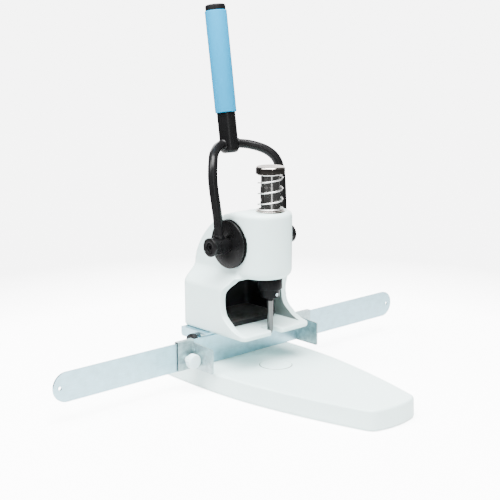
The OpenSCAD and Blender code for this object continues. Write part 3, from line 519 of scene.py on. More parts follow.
def node_mesh(node: str) -> bmesh.types.BMesh:
    """Copy of a CAD node's mesh, merged, with its flat faces whole again.

    Args:
        node: Name of the CAD node.

    Returns:
        The mesh under construction.
    """
    bm = bmesh.new()
    bm.from_mesh(frame["nodes"][node].data)
    bmesh.ops.remove_doubles(bm, verts=bm.verts, dist=MERGE_DISTANCE)
    bmesh.ops.dissolve_limit(bm, angle_limit=FLAT_ANGLE, verts=bm.verts, edges=bm.edges,
                             use_dissolve_boundaries=False)
    return bm


def soften(bm: bmesh.types.BMesh, width: float, angle: float = 30.0, segments: int = 2,
           where: Optional[Callable[[bmesh.types.BMEdge], bool]] = None) -> bmesh.types.BMesh:
    """Rounds the sharp edges of a mesh.

    Args:
        bm: The mesh.
        width: Width of the rounding in metres.
        angle: Least angle between faces that counts as sharp, in degrees.
        segments: Segments of the rounding.
        where: Test that an edge has to pass as well.

    Returns:
        The same mesh.
    """
    least = math.radians(angle)
    sharp = [e for e in bm.edges if len(e.link_faces) == 2 and e.calc_face_angle(0) > least
             and (where is None or where(e))]
    bmesh.ops.bevel(bm, geom=sharp, offset=width, offset_type="OFFSET", segments=segments,
                    profile=0.5, affect="EDGES", clamp_overlap=True, material=-1)
    return bm


def turned(profile: Sequence[Pair], axis: Axis, centre: Point = ORIGIN,
           steps: int = 96) -> bmesh.types.BMesh:
    """Spins a profile round an axis.

    Args:
        profile: Closed outline as (radius, distance along the axis), in metres.
        axis: Axis of the piece.
        centre: Point that the distances count from.
        steps: Steps of the full turn.

    Returns:
        The turned mesh.
    """
    bm = bmesh.new()
    corners = [bm.verts.new((radius, 0.0, along)) for radius, along in profile]
    edges = [bm.edges.new((corners[i], corners[(i + 1) % len(corners)]))
             for i in range(len(corners))]
    bmesh.ops.spin(bm, geom=corners + edges, cent=(0, 0, 0), axis=(0, 0, 1), dvec=(0, 0, 0),
                   angle=FULL_TURN, steps=steps, use_merge=True, use_duplicate=False)
    bmesh.ops.remove_doubles(bm, verts=bm.verts, dist=MERGE_DISTANCE)
    bmesh.ops.recalc_face_normals(bm, faces=bm.faces)
    bmesh.ops.transform(bm, matrix=Matrix.Translation(centre) @ axis.turn, verts=bm.verts)
    return bm


def swept(points: Iterable[Vector], radius: float, sides: int) -> bmesh.types.BMesh:
    """Round rod or wire along a route.

    Args:
        points: The route.
        radius: Radius of the rod.
        sides: Sides of its section.

    Returns:
        The swept mesh with closed ends.
    """
    route = list(points)
    curve = bpy.data.curves.new("route", "CURVE")
    curve.dimensions = "3D"
    curve.bevel_depth = radius
    curve.bevel_resolution = sides // 4 - 1
    curve.use_fill_caps = True
    spline = curve.splines.new("POLY")
    spline.points.add(len(route) - 1)
    for point, place in zip(spline.points, route):
        point.co = (*place, 1.0)
    holder = bpy.data.objects.new("route", curve)
    mesh = bpy.data.meshes.new_from_object(holder)
    bm = bmesh.new()
    bm.from_mesh(mesh)
    bpy.data.objects.remove(holder)
    bpy.data.curves.remove(curve)
    bpy.data.meshes.remove(mesh)
    bmesh.ops.remove_doubles(bm, verts=bm.verts, dist=MERGE_DISTANCE)
    bmesh.ops.recalc_face_normals(bm, faces=bm.faces)
    return bm


def join(target: bmesh.types.BMesh, *others: bmesh.types.BMesh) -> bmesh.types.BMesh:
    """Adds other meshes to a mesh.

    Args:
        target: Mesh that is added to.
        *others: Meshes that are added and freed.

    Returns:
        The target.
    """
    for other in others:
        carrier = bpy.data.meshes.new("carrier")
        other.to_mesh(carrier)
        target.from_mesh(carrier)
        bpy.data.meshes.remove(carrier)
        other.free()
    return target


def publish(name: str, bm: bmesh.types.BMesh, body: str, finish: Finish,
            node: str, smooth_angle: float = SMOOTH_FLAT, weighted: bool = False,
            accent: Optional[Finish] = None) -> bpy.types.Object:
    """Makes a finished piece of a mesh, in place of its CAD node.

    Args:
        name: Name of the piece.
        bm: Its mesh, which is freed.
        body: Body that it rides on.
        finish: Its finish.
        node: CAD node that it stands for.
        smooth_angle: Greatest angle that is shaded smooth, in degrees.
        weighted: Whether large flat faces keep their flat shading.
        accent: Finish of the faces that carry the second material index.

    Returns:
        The piece.
    """
    mesh = bpy.data.meshes.new(name)
    bm.to_mesh(mesh)
    bm.free()
    mesh.shade_smooth()
    mesh.set_sharp_from_angle(angle=math.radians(smooth_angle))
    for each in filter(None, (finish, accent)):
        mesh.materials.append(Finishes.material(each))
    piece = bpy.data.objects.new(name, mesh)
    bpy.context.scene.collection.objects.link(piece)
    if weighted:
        modifier = piece.modifiers.new("flat faces", "WEIGHTED_NORMAL")
        modifier.keep_sharp = True
    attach(piece, body)
    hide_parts(node)
    return piece


def publish_node(name: str, node: str, body: str, finish: Finish, width: float,
                 angle: float = CUT_EDGE, smooth_angle: float = SMOOTH_FLAT,
                 weighted: bool = False) -> None:
    """Makes a finished piece of a CAD node's own form, with its sharp edges rounded."""
    publish(name, soften(node_mesh(node), width, angle), body, finish, node, smooth_angle,
            weighted)


def dress(node: str, finish: Finish) -> None:
    """Gives a CAD node that stays in sight its finish.

    Args:
        node: Name of the CAD node.
        finish: Its finish.
    """
    slots = frame["nodes"][node].data.materials
    slots.clear()
    slots.append(Finishes.material(finish))


def edge_is_ring(edge: bmesh.types.BMEdge, centre: Vector, radius: float, z: float) -> bool:
    """Whether both ends of an edge lie on a level circle of a radius, at a height z."""
    return all(abs(math.hypot(v.co.x - centre.x, v.co.y - centre.y) - radius) < NEAR
               and abs(v.co.z - z) < NEAR for v in edge.verts)


def mirror(bm: bmesh.types.BMesh, along: Point) -> None:
    """Mirrors a mesh along an axis and turns its faces outwards again."""
    bmesh.ops.transform(bm, matrix=Matrix.Scale(-1, 4, along), verts=bm.verts)
    bmesh.ops.recalc_face_normals(bm, faces=bm.faces)


def on_side(bm: bmesh.types.BMesh, side: Side) -> bmesh.types.BMesh:
    """Puts a mesh that is drawn on the right on its own side.

    Args:
        bm: The mesh.
        side: Its side.

    Returns:
        The same mesh.
    """
    if side is Side.LEFT:
        mirror(bm, (1, 0, 0))
    return bm


# Sub-assemblies


class SubAssembly(Protocol):
    """A group of pieces that is built as one."""

    def build(self) -> None:
        """Builds the pieces of the group."""


@dataclass
class Base:
    """Base slab with its mat, its bolts and the round cutting pad."""

    pad_centre_y: float = -8.5 * MM
    pocket_radius: float = 16.5 * MM
    groove: float = 0.7 * MM
    foot_round: float = 0.5 * MM
    skirt_end: float = 0.3 * MM
    taper_start: float = -30 * MM
    taper: float = 0.075
    # Least angle of an edge that is rounded, in degrees
    sharp: float = 60.0
    # Least slope of the normal of a level face
    level: float = 0.97

    def build(self) -> None:
        """Builds the slab, whose rim hides the mat, then the mat, the pad and the bolts."""
        slab = node_mesh("base_plate")
        low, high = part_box("base_plate")
        for vert in slab.verts:
            if vert.co.z < low.z + NEAR:
                vert.co.z = self.skirt_end
            ahead = (self.taper_start - vert.co.y) / (self.taper_start - low.y)
            vert.co.x *= 1 - self.taper * max(0.0, ahead)
        centre = Vector((0, self.pad_centre_y, 0))
        soften(slab, self.groove, self.sharp,
               where=lambda e: edge_is_ring(e, centre, self.pocket_radius, high.z))
        publish("base_slab", slab, "frame", Finishes.white_enamel, "base_plate",
                smooth_angle=SMOOTH_DISC, weighted=True)
        publish_node("rubber_mat", "base_mat", "frame", Finishes.black_rubber,
                     self.foot_round, self.sharp, smooth_angle=SMOOTH_DISC, weighted=True)
        self.pad()
        dress("frame_bolts", Finishes.dark_steel)

    def pad(self) -> None:
        """Builds the round pad that the bit cuts on, with painted shade on its sides down in
        the groove.
        """
        low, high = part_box("cutting_pad")
        radius = (high.x - low.x) / 2
        height = high.z - low.z
        profile = [(0, 0), (radius, 0), (radius, height), (0, height)]
        centre = ((low.x + high.x) / 2, (low.y + high.y) / 2, low.z)
        bm = soften(turned(profile, Axis.Z, centre), self.groove, angle=TURNED_EDGE, segments=3)
        # Sides of the pad, down in the groove, take the second material, a painted shade
        for face in bm.faces:
            if abs(face.normal.z) < self.level:
                face.material_index = 1
        publish("round_cutting_pad", bm, "pad", Finishes.white_nylon, "cutting_pad",
                smooth_angle=SMOOTH_DISC, weighted=True, accent=Finishes.painted_shade_grey)


@dataclass
class Frame:
    """Cast frame with its lining, bushes, bearing flanges, washer and guide screws."""

    # Faces of the casting, and how far its edges are smoothed
    voxel: float = 0.75 * MM
    smoothing: int = 3
    smoothing_share: float = 0.5
    kept_faces: float = 0.5
    edge_round: float = 0.3 * MM
    # Least angle of an edge that is rounded on the guide screws, in degrees
    screw_edge: float = 30.0
    shaft_hole: float = 6.05 * MM
    rim_round: float = 0.6 * MM
    spigot_radius: float = 23.7 * MM
    spigot_end: float = 28.05 * MM
    flange_neck_radius: float = 21.0 * MM
    disc_thickness: float = 1.6 * MM
    disc_steps: int = 128
    washer_hole: float = 10.05 * MM
    lining_cut: float = 27 * MM
    lining_cut_back: float = 8.6 * MM
    lining_level: float = 0.9
    # Inner faces of the throat's walls, which get painted shade: their place, and the least
    # slope of their normals
    wall_inside: float = 38 * MM
    wall_reach: float = 0.8 * MM
    wall_upright: float = 0.7
    throat_low: float = 52 * MM
    throat_high: float = 103 * MM

    def build(self) -> None:
        """Builds every piece that is fixed to the frame."""
        self.casting()
        self.lining()
        for side in Side:
            self.bearing_flange(side)
        self.washer()
        for bush in ("upper_ram_bush", "lower_ram_bush"):
            dress(bush, Finishes.bronze)
        publish_node("bracket_guide_screws", "gauge_guide_screws", "frame",
                     Finishes.zinc_plate, self.edge_round, angle=self.screw_edge)

    def casting(self) -> None:
        """Builds the casting, with painted shade on the inner faces of the throat's walls."""
        bm = self.evened(node_mesh("frame_casting"))
        # Inner faces of the throat's walls take the second material, a painted shade
        for face in bm.faces:
            centre = face.calc_center_median()
            inward = -face.normal.x * math.copysign(1, centre.x) > self.wall_upright
            if (inward and abs(abs(centre.x) - self.wall_inside) < self.wall_reach
                    and self.throat_low < centre.z < self.throat_high):
                face.material_index = 1
        publish("cast_frame", bm, "frame", Finishes.white_enamel, "frame_casting",
                smooth_angle=SMOOTH_CASTING, accent=Finishes.painted_shade_grey)

    def evened(self, bm: bmesh.types.BMesh) -> bmesh.types.BMesh:
        """Gives a mesh the soft edges of a painted casting, on even faces.

        Args:
            bm: The mesh, which is freed.

        Returns:
            The new mesh.
        """
        source = bpy.data.meshes.new("casting source")
        bm.to_mesh(source)
        bm.free()
        holder = bpy.data.objects.new("casting source", source)
        bpy.context.scene.collection.objects.link(holder)
        remesh = holder.modifiers.new("even faces", "REMESH")
        remesh.mode = "VOXEL"
        remesh.voxel_size = self.voxel
        smooth = holder.modifiers.new("soft edges", "SMOOTH")
        smooth.factor = self.smoothing_share
        smooth.iterations = self.smoothing
        thin_out = holder.modifiers.new("fewer flat faces", "DECIMATE")
        thin_out.ratio = self.kept_faces
        graph = bpy.context.evaluated_depsgraph_get()
        mesh = bpy.data.meshes.new_from_object(holder.evaluated_get(graph))
        even = bmesh.new()
        even.from_mesh(mesh)
        bpy.data.objects.remove(holder)
        bpy.data.meshes.remove(mesh)
        bpy.data.meshes.remove(source)
        return even

    def lining(self) -> None:
        """Builds the throat's lining, cut back in front on the right, with painted light on its
        upward faces.
        """
        bm = node_mesh("throat_liner")
        bmesh.ops.bisect_plane(bm, geom=bm.verts[:] + bm.edges[:] + bm.faces[:],
                               plane_co=(self.lining_cut, 0, 0), plane_no=(1, 0, 0))
        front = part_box("throat_liner")[0].y
        for vert in bm.verts:
            if vert.co.x > self.lining_cut + NEAR and vert.co.y < front + NEAR:
                vert.co.y += self.lining_cut_back
        bm.normal_update()
        # Upward faces take the second material, a painted light
        for face in bm.faces:
            if face.normal.z > self.lining_level:
                face.material_index = 1
        publish("throat_lining", soften(bm, self.edge_round), "frame", Finishes.black_lining,
                "throat_liner", accent=Finishes.painted_light_floor)

    def bearing_flange(self, side: Side) -> None:
        """Builds one bearing flange of the cross shaft.

        Args:
            side: Its side.
        """
        node = f"{side.value}_bearing_flange"
        low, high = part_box(node)
        radius = (high.z - low.z) / 2
        outer = max(abs(low.x), abs(high.x))
        inner = min(abs(low.x), abs(high.x))
        face = outer - self.disc_thickness
        profile = [(self.shaft_hole, inner), (self.spigot_radius, inner),
                   (self.spigot_radius, self.spigot_end),
                   (self.flange_neck_radius, self.spigot_end), (self.flange_neck_radius, face),
                   (radius, face), (radius, outer), (self.shaft_hole, outer)]
        centre = (0, (low.y + high.y) / 2, (low.z + high.z) / 2)
        bm = soften(turned(profile, Axis.X, centre, self.disc_steps), self.rim_round,
                    angle=TURNED_EDGE, segments=3)
        publish(f"{side.value}_bearing_disc", on_side(bm, side), "frame",
                Finishes.black_enamel, node)

    def washer(self) -> None:
        """Builds the washer that the spring stands on."""
        low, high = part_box("spring_washer")
        radius = (high.x - low.x) / 2
        height = high.z - low.z
        profile = [(self.washer_hole, 0), (radius, 0), (radius, height),
                   (self.washer_hole, height)]
        bm = soften(turned(profile, Axis.Z, (0, 0, low.z)), self.edge_round,
                    angle=TURNED_EDGE, segments=3)
        publish("seat_washer", bm, "frame", Finishes.polished_chrome, "spring_washer")


@dataclass
class RamGroup:
    """Ram, cap, spring, bit holder, bit and clamp screw."""

    ram_round: float = 0.25 * MM
    cap_round: float = 1.8 * MM
    cap_steps: int = 128
    cap_seat_depth: float = 1.0 * MM
    cap_seat_radius: float = 12.9 * MM
    holder_mid: float = 8.4 * MM
    holder_nose: float = 3.8 * MM
    holder_round: float = 0.6 * MM
    middle_radius: float = 9.4 * MM
    nose_radius: float = 4.2 * MM
    nose_hole: float = 3.0 * MM
    bit_bore: float = 2.2 * MM
    bit_taper: float = 2.5 * MM
    bit_edge: float = 0.15 * MM
    bit_steps: int = 64
    dish_radius: float = 0.9 * MM
    screw_round: float = 0.4 * MM
    # Radius of the screw as a share of the CAD node's
    screw_share: float = 0.78
    screw_steps: int = 48
    wire_radius: float = 0.7 * MM
    wire_sides: int = 12
    coil_radius: float = 11.9 * MM
    open_turns: float = 3.1
    closed_turns: float = 0.85
    closed_gap: float = 0.5 * MM
    start_turn: float = 0.2
    points_per_turn: int = 32
    travel: float = 31 * MM

    def build(self) -> None:
        """Builds the ram group."""
        publish_node("punch_ram_rod", "ram", "punch_ram", Finishes.ground_steel,
                     self.ram_round)
        self.cap()
        self.holder()
        self.bit()
        self.set_screw()
        self.spring()

    def cap(self) -> None:
        """Builds the round cap with the spring's seat under it."""
        low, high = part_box("ram_cap")
        radius = (high.x - low.x) / 2
        height = high.z - low.z
        seat = self.cap_seat_depth
        profile = [(0, seat), (self.cap_seat_radius, seat), (self.cap_seat_radius, 0),
                   (radius, 0), (radius, height), (0, height)]
        bm = soften(turned(profile, Axis.Z, (0, 0, low.z), self.cap_steps), self.cap_round,
                    angle=TURNED_EDGE, segments=4,
                    where=lambda e: min(v.co.z for v in e.verts) > low.z + height / 2)
        publish("chrome_cap", bm, "punch_ram", Finishes.polished_chrome, "ram_cap",
                smooth_angle=SMOOTH_DISC, weighted=True)

    def holder(self) -> None:
        """Builds the stepped bit holder."""
        low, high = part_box("bit_holder")
        radius = (high.x - low.x) / 2
        nose = low.z + self.holder_nose
        middle = nose + self.holder_mid
        profile = [(0, middle), (self.nose_hole, middle), (self.nose_hole, low.z),
                   (self.nose_radius, low.z), (self.nose_radius, nose),
                   (self.middle_radius, nose), (self.middle_radius, middle),
                   (radius, middle), (radius, high.z), (0, high.z)]
        bm = soften(turned(profile, Axis.Z), self.holder_round,
                    angle=TURNED_EDGE, segments=3,
                    where=lambda e: math.hypot(*e.verts[0].co.xy) > self.nose_hole + NEAR)
        publish("stepped_bit_holder", bm, "punch_ram", Finishes.dark_steel, "bit_holder")

    def bit(self) -> None:
        """Builds the hollow bit with its sharpened end."""
        low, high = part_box("punch_bit")
        radius = (high.x - low.x) / 2
        profile = [(self.bit_bore, low.z), (self.bit_bore + self.bit_edge, low.z),
                   (radius, low.z + self.bit_taper), (radius, high.z), (self.bit_bore, high.z)]
        bm = turned(profile, Axis.Z, steps=self.bit_steps)
        publish("hollow_bit", bm, "punch_ram", Finishes.tool_steel, "punch_bit")

    def set_screw(self) -> None:
        """Builds the screw that holds the bit, with a dished point in its face."""
        low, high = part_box("bit_clamp_screw")
        radius = (high.x - low.x) / 2 * self.screw_share
        face = -low.y
        profile = [(0, -high.y), (radius, -high.y), (radius, face), (self.dish_radius, face),
                   (0, face - self.dish_radius)]
        centre = (0, 0, (low.z + high.z) / 2)
        bm = soften(turned(profile, Axis.Y, centre, self.screw_steps), self.screw_round,
                    segments=3, where=lambda e: max(abs(v.co.y) for v in e.verts) < face)
        mirror(bm, (0, 1, 0))
        publish("bit_set_screw", bm, "punch_ram", Finishes.zinc_plate, "bit_clamp_screw")

    def wire_point(self, turns: float, bottom: float, height: float) -> Vector:
        """Centre of the wire after a number of turns.

        Args:
            turns: Turns from the lower end.
            bottom: Height that the spring stands on.
            height: Height of the spring.

        Returns:
            The point.
        """
        lead = 2 * self.wire_radius + self.closed_gap
        open_lead = (height - 2 * self.wire_radius
                     - 2 * self.closed_turns * lead) / self.open_turns
        rise = (self.wire_radius + lead * min(turns, self.closed_turns)
                + open_lead * max(0.0, min(turns - self.closed_turns, self.open_turns))
                + lead * max(0.0, turns - self.closed_turns - self.open_turns))
        angle = FULL_TURN * (turns + self.start_turn)
        return Vector((self.coil_radius * math.cos(angle), self.coil_radius * math.sin(angle),
                       bottom + rise))

    def spring(self) -> None:
        """Builds the return spring."""
        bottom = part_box("spring_washer")[1].z
        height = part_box("ram_cap")[0].z + self.cap_seat_depth - bottom
        turns = self.open_turns + 2 * self.closed_turns
        count = int(turns * self.points_per_turn)
        bm = swept((self.wire_point(turns * i / count, bottom, height)
                    for i in range(count + 1)), self.wire_radius, self.wire_sides)
        piece = publish("coil_return_spring", bm, "frame", Finishes.spring_steel,
                        "return_spring", smooth_angle=SMOOTH_WIRE)
        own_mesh(piece)


@dataclass
class Lever:
    """Lever with its hubs, fork, tube, grip and end cap, and the shaft with its pinion."""

    fork_half_width: float = 45 * MM
    fork_setback: float = 32.4 * MM
    fork_rise: float = 93.4 * MM
    shaft: Point = (0, 27.7 * MM, 140.6 * MM)
    rod_radius: float = 4.7 * MM
    rod_sides: int = 24
    # Lean of the tube, in degrees
    lean: float = 8.4
    tube_radius: float = 9.3 * MM
    tube_wall: float = 2 * MM
    tube_length: float = 140.7 * MM
    foot_gap: float = 9 * MM
    foot_round: float = 4.4 * MM
    foot_steps: int = 8
    grip_radius: float = 11 * MM
    grip_length: float = 100.2 * MM
    grip_taper: float = 0.3 * MM
    grip_gap: float = 0.02 * MM
    grip_round: float = 0.8 * MM
    grip_steps: int = 128
    plug_gap: float = 0.05 * MM
    plug_length: float = 14 * MM
    end_radius: float = 10.12 * MM
    end_length: float = 6 * MM
    end_round: float = 1.8 * MM
    screw_round: float = 0.3 * MM
    hub_round: float = 0.5 * MM
    hub_start: float = 32.35 * MM
    hub_end: float = 54.55 * MM
    neck_radius: float = 7.4 * MM
    neck_length: float = 4.5 * MM
    barrel_radius: float = 8.5 * MM
    collar_radius: float = 9.3 * MM
    collar_length: float = 2.6 * MM
    seat_radius: float = 4.8 * MM
    seat_depth: float = 5 * MM
    bead_radius: float = 1.5 * MM
    # Radius of a weld bead's ring, as a share of the rod's radius
    bead_ring: float = 0.92
    bead_steps: int = 24
    bead_sides: int = 8
    # Route of a fork leg: shares of its half width, setback and rise
    route_shares: tuple[Point, ...] = (
        (0.945, 0, 0.03), (0.945, 0, 0.15), (0.96, 0.02, 0.30), (0.982, 0.07, 0.45),
        (0.998, 0.12, 0.58), (0.998, 0.165, 0.69), (0.965, 0.22, 0.79), (0.885, 0.33, 0.87),
        (0.76, 0.50, 0.928), (0.60, 0.67, 0.964), (0.42, 0.84, 0.988), (0.22, 0.96, 0.998),
        (0, 1, 1))
    route_steps: int = 8

    def build(self) -> None:
        """Builds the lever."""
        for side in Side:
            self.hub(side)
            self.leg(side)
        self.tube()
        self.grip()
        self.end_cap()
        publish_node("hub_cap_screws", "hub_end_screws", "lever", Finishes.dark_steel,
                     self.screw_round)
        dress("cross_shaft", Finishes.ground_steel)
        dress("pinion_key", Finishes.ground_steel)
        dress("drive_pinion", Finishes.gear_steel)

    def hub(self, side: Side) -> None:
        """Builds one hub.

        Args:
            side: Its side.
        """
        neck = self.hub_start + self.neck_length
        collar = self.hub_end - self.collar_length
        seat = self.hub_end - self.seat_depth
        profile = [(0, self.hub_start), (self.neck_radius, self.hub_start),
                   (self.neck_radius, neck), (self.barrel_radius, neck),
                   (self.barrel_radius, collar), (self.collar_radius, collar),
                   (self.collar_radius, self.hub_end), (self.seat_radius, self.hub_end),
                   (self.seat_radius, seat), (0, seat)]
        bm = soften(turned(profile, Axis.X, self.shaft), self.hub_round,
                    angle=TURNED_EDGE, segments=3)
        publish(f"{side.value}_hub", on_side(bm, side), "lever", Finishes.black_enamel,
                f"{side.value}_lever_hub")

    def route(self) -> list[Vector]:
        """Smooth route of the right leg, from its hub to the middle of the tube.

        Returns:
            The points of the route.
        """
        corners = [Vector((a * self.fork_half_width, b * self.fork_setback, c * self.fork_rise))
                   + Vector(self.shaft) for a, b, c in self.route_shares]
        corners = [corners[0] * 2 - corners[1]] + corners + [corners[-1] * 2 - corners[-2]]
        route = []
        for i in range(1, len(corners) - 2):
            a, b, c, d = corners[i - 1:i + 3]
            for step in range(self.route_steps):
                t = step / self.route_steps
                route.append(0.5 * (2 * b + (c - a) * t + (2 * a - 5 * b + 4 * c - d) * t * t
                                    + (3 * b - a - 3 * c + d) * t ** 3))
        return route + [corners[-2]]

    def leg(self, side: Side) -> None:
        """Builds one leg of the fork with its weld beads.

        Args:
            side: Its side.
        """
        route = self.route()
        inside = self.tube_radius - self.tube_wall / 2
        kept = [p for p in route if p.x > inside]
        bm = swept(kept, self.rod_radius, self.rod_sides)
        bead_low = self.bead(kept, lambda p: p.z - self.shaft[2] - self.barrel_radius)
        bead_high = self.bead(kept, lambda p: self.tube_radius + self.bead_radius / 2 - p.x)
        join(bm, bead_low, bead_high)
        publish(f"{side.value}_fork_rod", on_side(bm, side), "lever", Finishes.black_enamel,
                f"{side.value}_fork_leg", smooth_angle=SMOOTH_WIRE)

    def bead(self, route: Sequence[Vector], distance: Callable[[Vector], float]
             ) -> bmesh.types.BMesh:
        """Weld bead round the rod, where a distance along its route passes zero.

        Args:
            route: Route of the rod.
            distance: Distance that is below zero before the weld.

        Returns:
            The bead.
        """
        at = next(i for i in range(1, len(route)) if distance(route[i]) > 0)
        along = (route[at] - route[at - 1]).normalized()
        side = along.orthogonal().normalized()
        other = along.cross(side)
        turns = [FULL_TURN * i / self.bead_steps for i in range(self.bead_steps + 1)]
        ring = [route[at] + (self.rod_radius * self.bead_ring)
                * (math.cos(turn) * side + math.sin(turn) * other) for turn in turns]
        return swept(ring, self.bead_radius, self.bead_sides)

    def on_tube(self, bm: bmesh.types.BMesh) -> bmesh.types.BMesh:
        """Moves a mesh that is drawn along +Z onto the tube's axis, from its foot.

        Args:
            bm: The mesh.

        Returns:
            The same mesh.
        """
        lean = math.radians(self.lean)
        crossing = Vector(self.shaft) + Vector((0, self.fork_setback, self.fork_rise))
        place = (Matrix.Translation(crossing) @ Matrix.Rotation(-lean, 4, "X")
                 @ Matrix.Translation((0, 0, -self.foot_gap / math.cos(lean))))
        bmesh.ops.transform(bm, matrix=place, verts=bm.verts)
        return bm

    def tube(self) -> None:
        """Builds the tube, whose foot curls in round its mouth."""
        bend = [math.pi / 2 * i / self.foot_steps for i in range(self.foot_steps + 1)]
        centre, curl = self.tube_radius - self.foot_round, self.foot_round - self.tube_wall
        # Outside from the mouth up, and inside from the wall down
        outside = [(centre + self.foot_round * math.sin(a),
                    self.foot_round * (1 - math.cos(a))) for a in bend]
        inside = [(centre + curl * math.sin(a), self.foot_round - curl * math.cos(a))
                  for a in reversed(bend)]
        rim = [(self.tube_radius, self.tube_length),
               (self.tube_radius - self.tube_wall, self.tube_length)]
        bm = turned(outside + rim + inside, Axis.Z)
        publish("steel_tube", self.on_tube(bm), "lever", Finishes.black_enamel, "lever_tube")

    def grip(self) -> None:
        """Builds the vinyl grip, a little slimmer at its lower end."""
        wall = self.tube_radius + self.grip_gap
        start = self.tube_length - self.grip_length
        profile = [(wall, start), (self.grip_radius - self.grip_taper, start),
                   (self.grip_radius, self.tube_length), (wall, self.tube_length)]
        bm = soften(turned(profile, Axis.Z, steps=self.grip_steps), self.grip_round,
                    angle=TURNED_EDGE, segments=4)
        publish("vinyl_grip", self.on_tube(bm), "lever", Finishes.blue_vinyl, "handle_grip")

    def end_cap(self) -> None:
        """Builds the cap on the tube's end, with its plug in the bore."""
        plug = self.tube_radius - self.tube_wall - self.plug_gap
        rim = self.tube_length
        foot, top = rim - self.plug_length, rim + self.end_length
        profile = [(0, foot), (plug, foot), (plug, rim), (self.end_radius, rim),
                   (self.end_radius, top), (0, top)]
        bm = soften(turned(profile, Axis.Z), self.end_round, angle=TURNED_EDGE, segments=5,
                    where=lambda e: min(v.co.z for v in e.verts) > rim + NEAR)
        publish("round_end_cap", self.on_tube(bm), "lever", Finishes.black_plastic,
                "grip_end_cap")


@dataclass
class BackGauge:
    """Gauge bar, sliding bracket, rivets, lock knob and lock screw."""

    edge_round: float = 0.25 * MM
    knob_spread: float = 1.35

    def build(self) -> None:
        """Builds the back gauge."""
        for name, node, weighted in (("long_gauge_bar", "gauge_bar", True),
                                     ("sliding_bracket", "gauge_slide", True),
                                     ("flush_rivets", "bar_rivets", False)):
            publish_node(name, node, "back_gauge", Finishes.zinc_sheet, self.edge_round,
                         weighted=weighted)
        knob = soften(node_mesh("gauge_lock_knob"), self.edge_round, angle=CUT_EDGE)
        low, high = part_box("gauge_lock_knob")
        bmesh.ops.scale(knob, vec=(1, self.knob_spread, self.knob_spread), verts=knob.verts,
                        space=Matrix.Translation((low + high) / -2))
        publish("round_lock_knob", knob, "gauge_lock", Finishes.black_plastic,
                "gauge_lock_knob")
        publish_node("round_lock_screw", "gauge_lock_screw", "gauge_lock",
                     Finishes.zinc_plate, self.edge_round)


@dataclass
class PaperGuide:
    """One folded guide with its thumb knob and stud."""

    side: Side
    edge_round: float = 0.15 * MM
    corner_round: float = 1.8 * MM
    # Cut edges of the sheet, which get painted shade: least sideways slope, greatest area and
    # least height
    edge_slope: float = 0.9
    edge_area: float = 120 * MM * MM
    edge_height: float = 15 * MM

    def build(self) -> None:
        """Builds the guide, its knob and its stud."""
        side = self.side.value
        sheet = node_mesh(f"{side}_paper_guide")
        # Cut edges take the second material, a painted shade
        for face in sheet.faces:
            heights = [v.co.z for v in face.verts]
            if (abs(face.normal.x) > self.edge_slope and face.calc_area() < self.edge_area
                    and max(heights) - min(heights) > self.edge_height):
                face.material_index = 1
        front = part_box(f"{side}_paper_guide")[0].y
        soften(sheet, self.corner_round, angle=CUT_EDGE, segments=4,
               where=lambda e: all(v.co.y < front + NEAR for v in e.verts)
               and abs(e.verts[0].co.x - e.verts[1].co.x) > e.calc_length() / 2)
        soften(sheet, self.edge_round, angle=CUT_EDGE)
        publish(f"{side}_folded_guide", sheet, f"{side}_guide", Finishes.guide_sheet,
                f"{side}_paper_guide", weighted=True, accent=Finishes.painted_shade_edge)
        publish_node(f"{side}_thumb_knob", f"{side}_guide_knob", f"{side}_guide_clamp",
                     Finishes.pale_plastic, self.edge_round)
        dress(f"{side}_guide_stud", Finishes.zinc_plate)


# Studio


@dataclass(frozen=True)
class Lamp:
    """A soft lamp: its place, width and height in metres, and its power in watts."""

    name: str
    place: Point
    sides: Pair
    power: float
    # Whether bright metal mirrors it
    mirrored: bool = True

    def build(self, aim: Point) -> None:
        """Adds the lamp.

        Args:
            aim: Point that it faces.
        """
        data = bpy.data.lights.new(self.name, "AREA")
        data.shape = "RECTANGLE"
        data.size, data.size_y = self.sides
        data.energy = self.power
        lamp = bpy.data.objects.new(self.name, data)
        lamp.location = self.place
        lamp.visible_glossy = self.mirrored
        towards = Vector(aim) - Vector(self.place)
        lamp.rotation_euler = towards.to_track_quat("-Z", "Y").to_euler()
        bpy.context.scene.collection.objects.link(lamp)


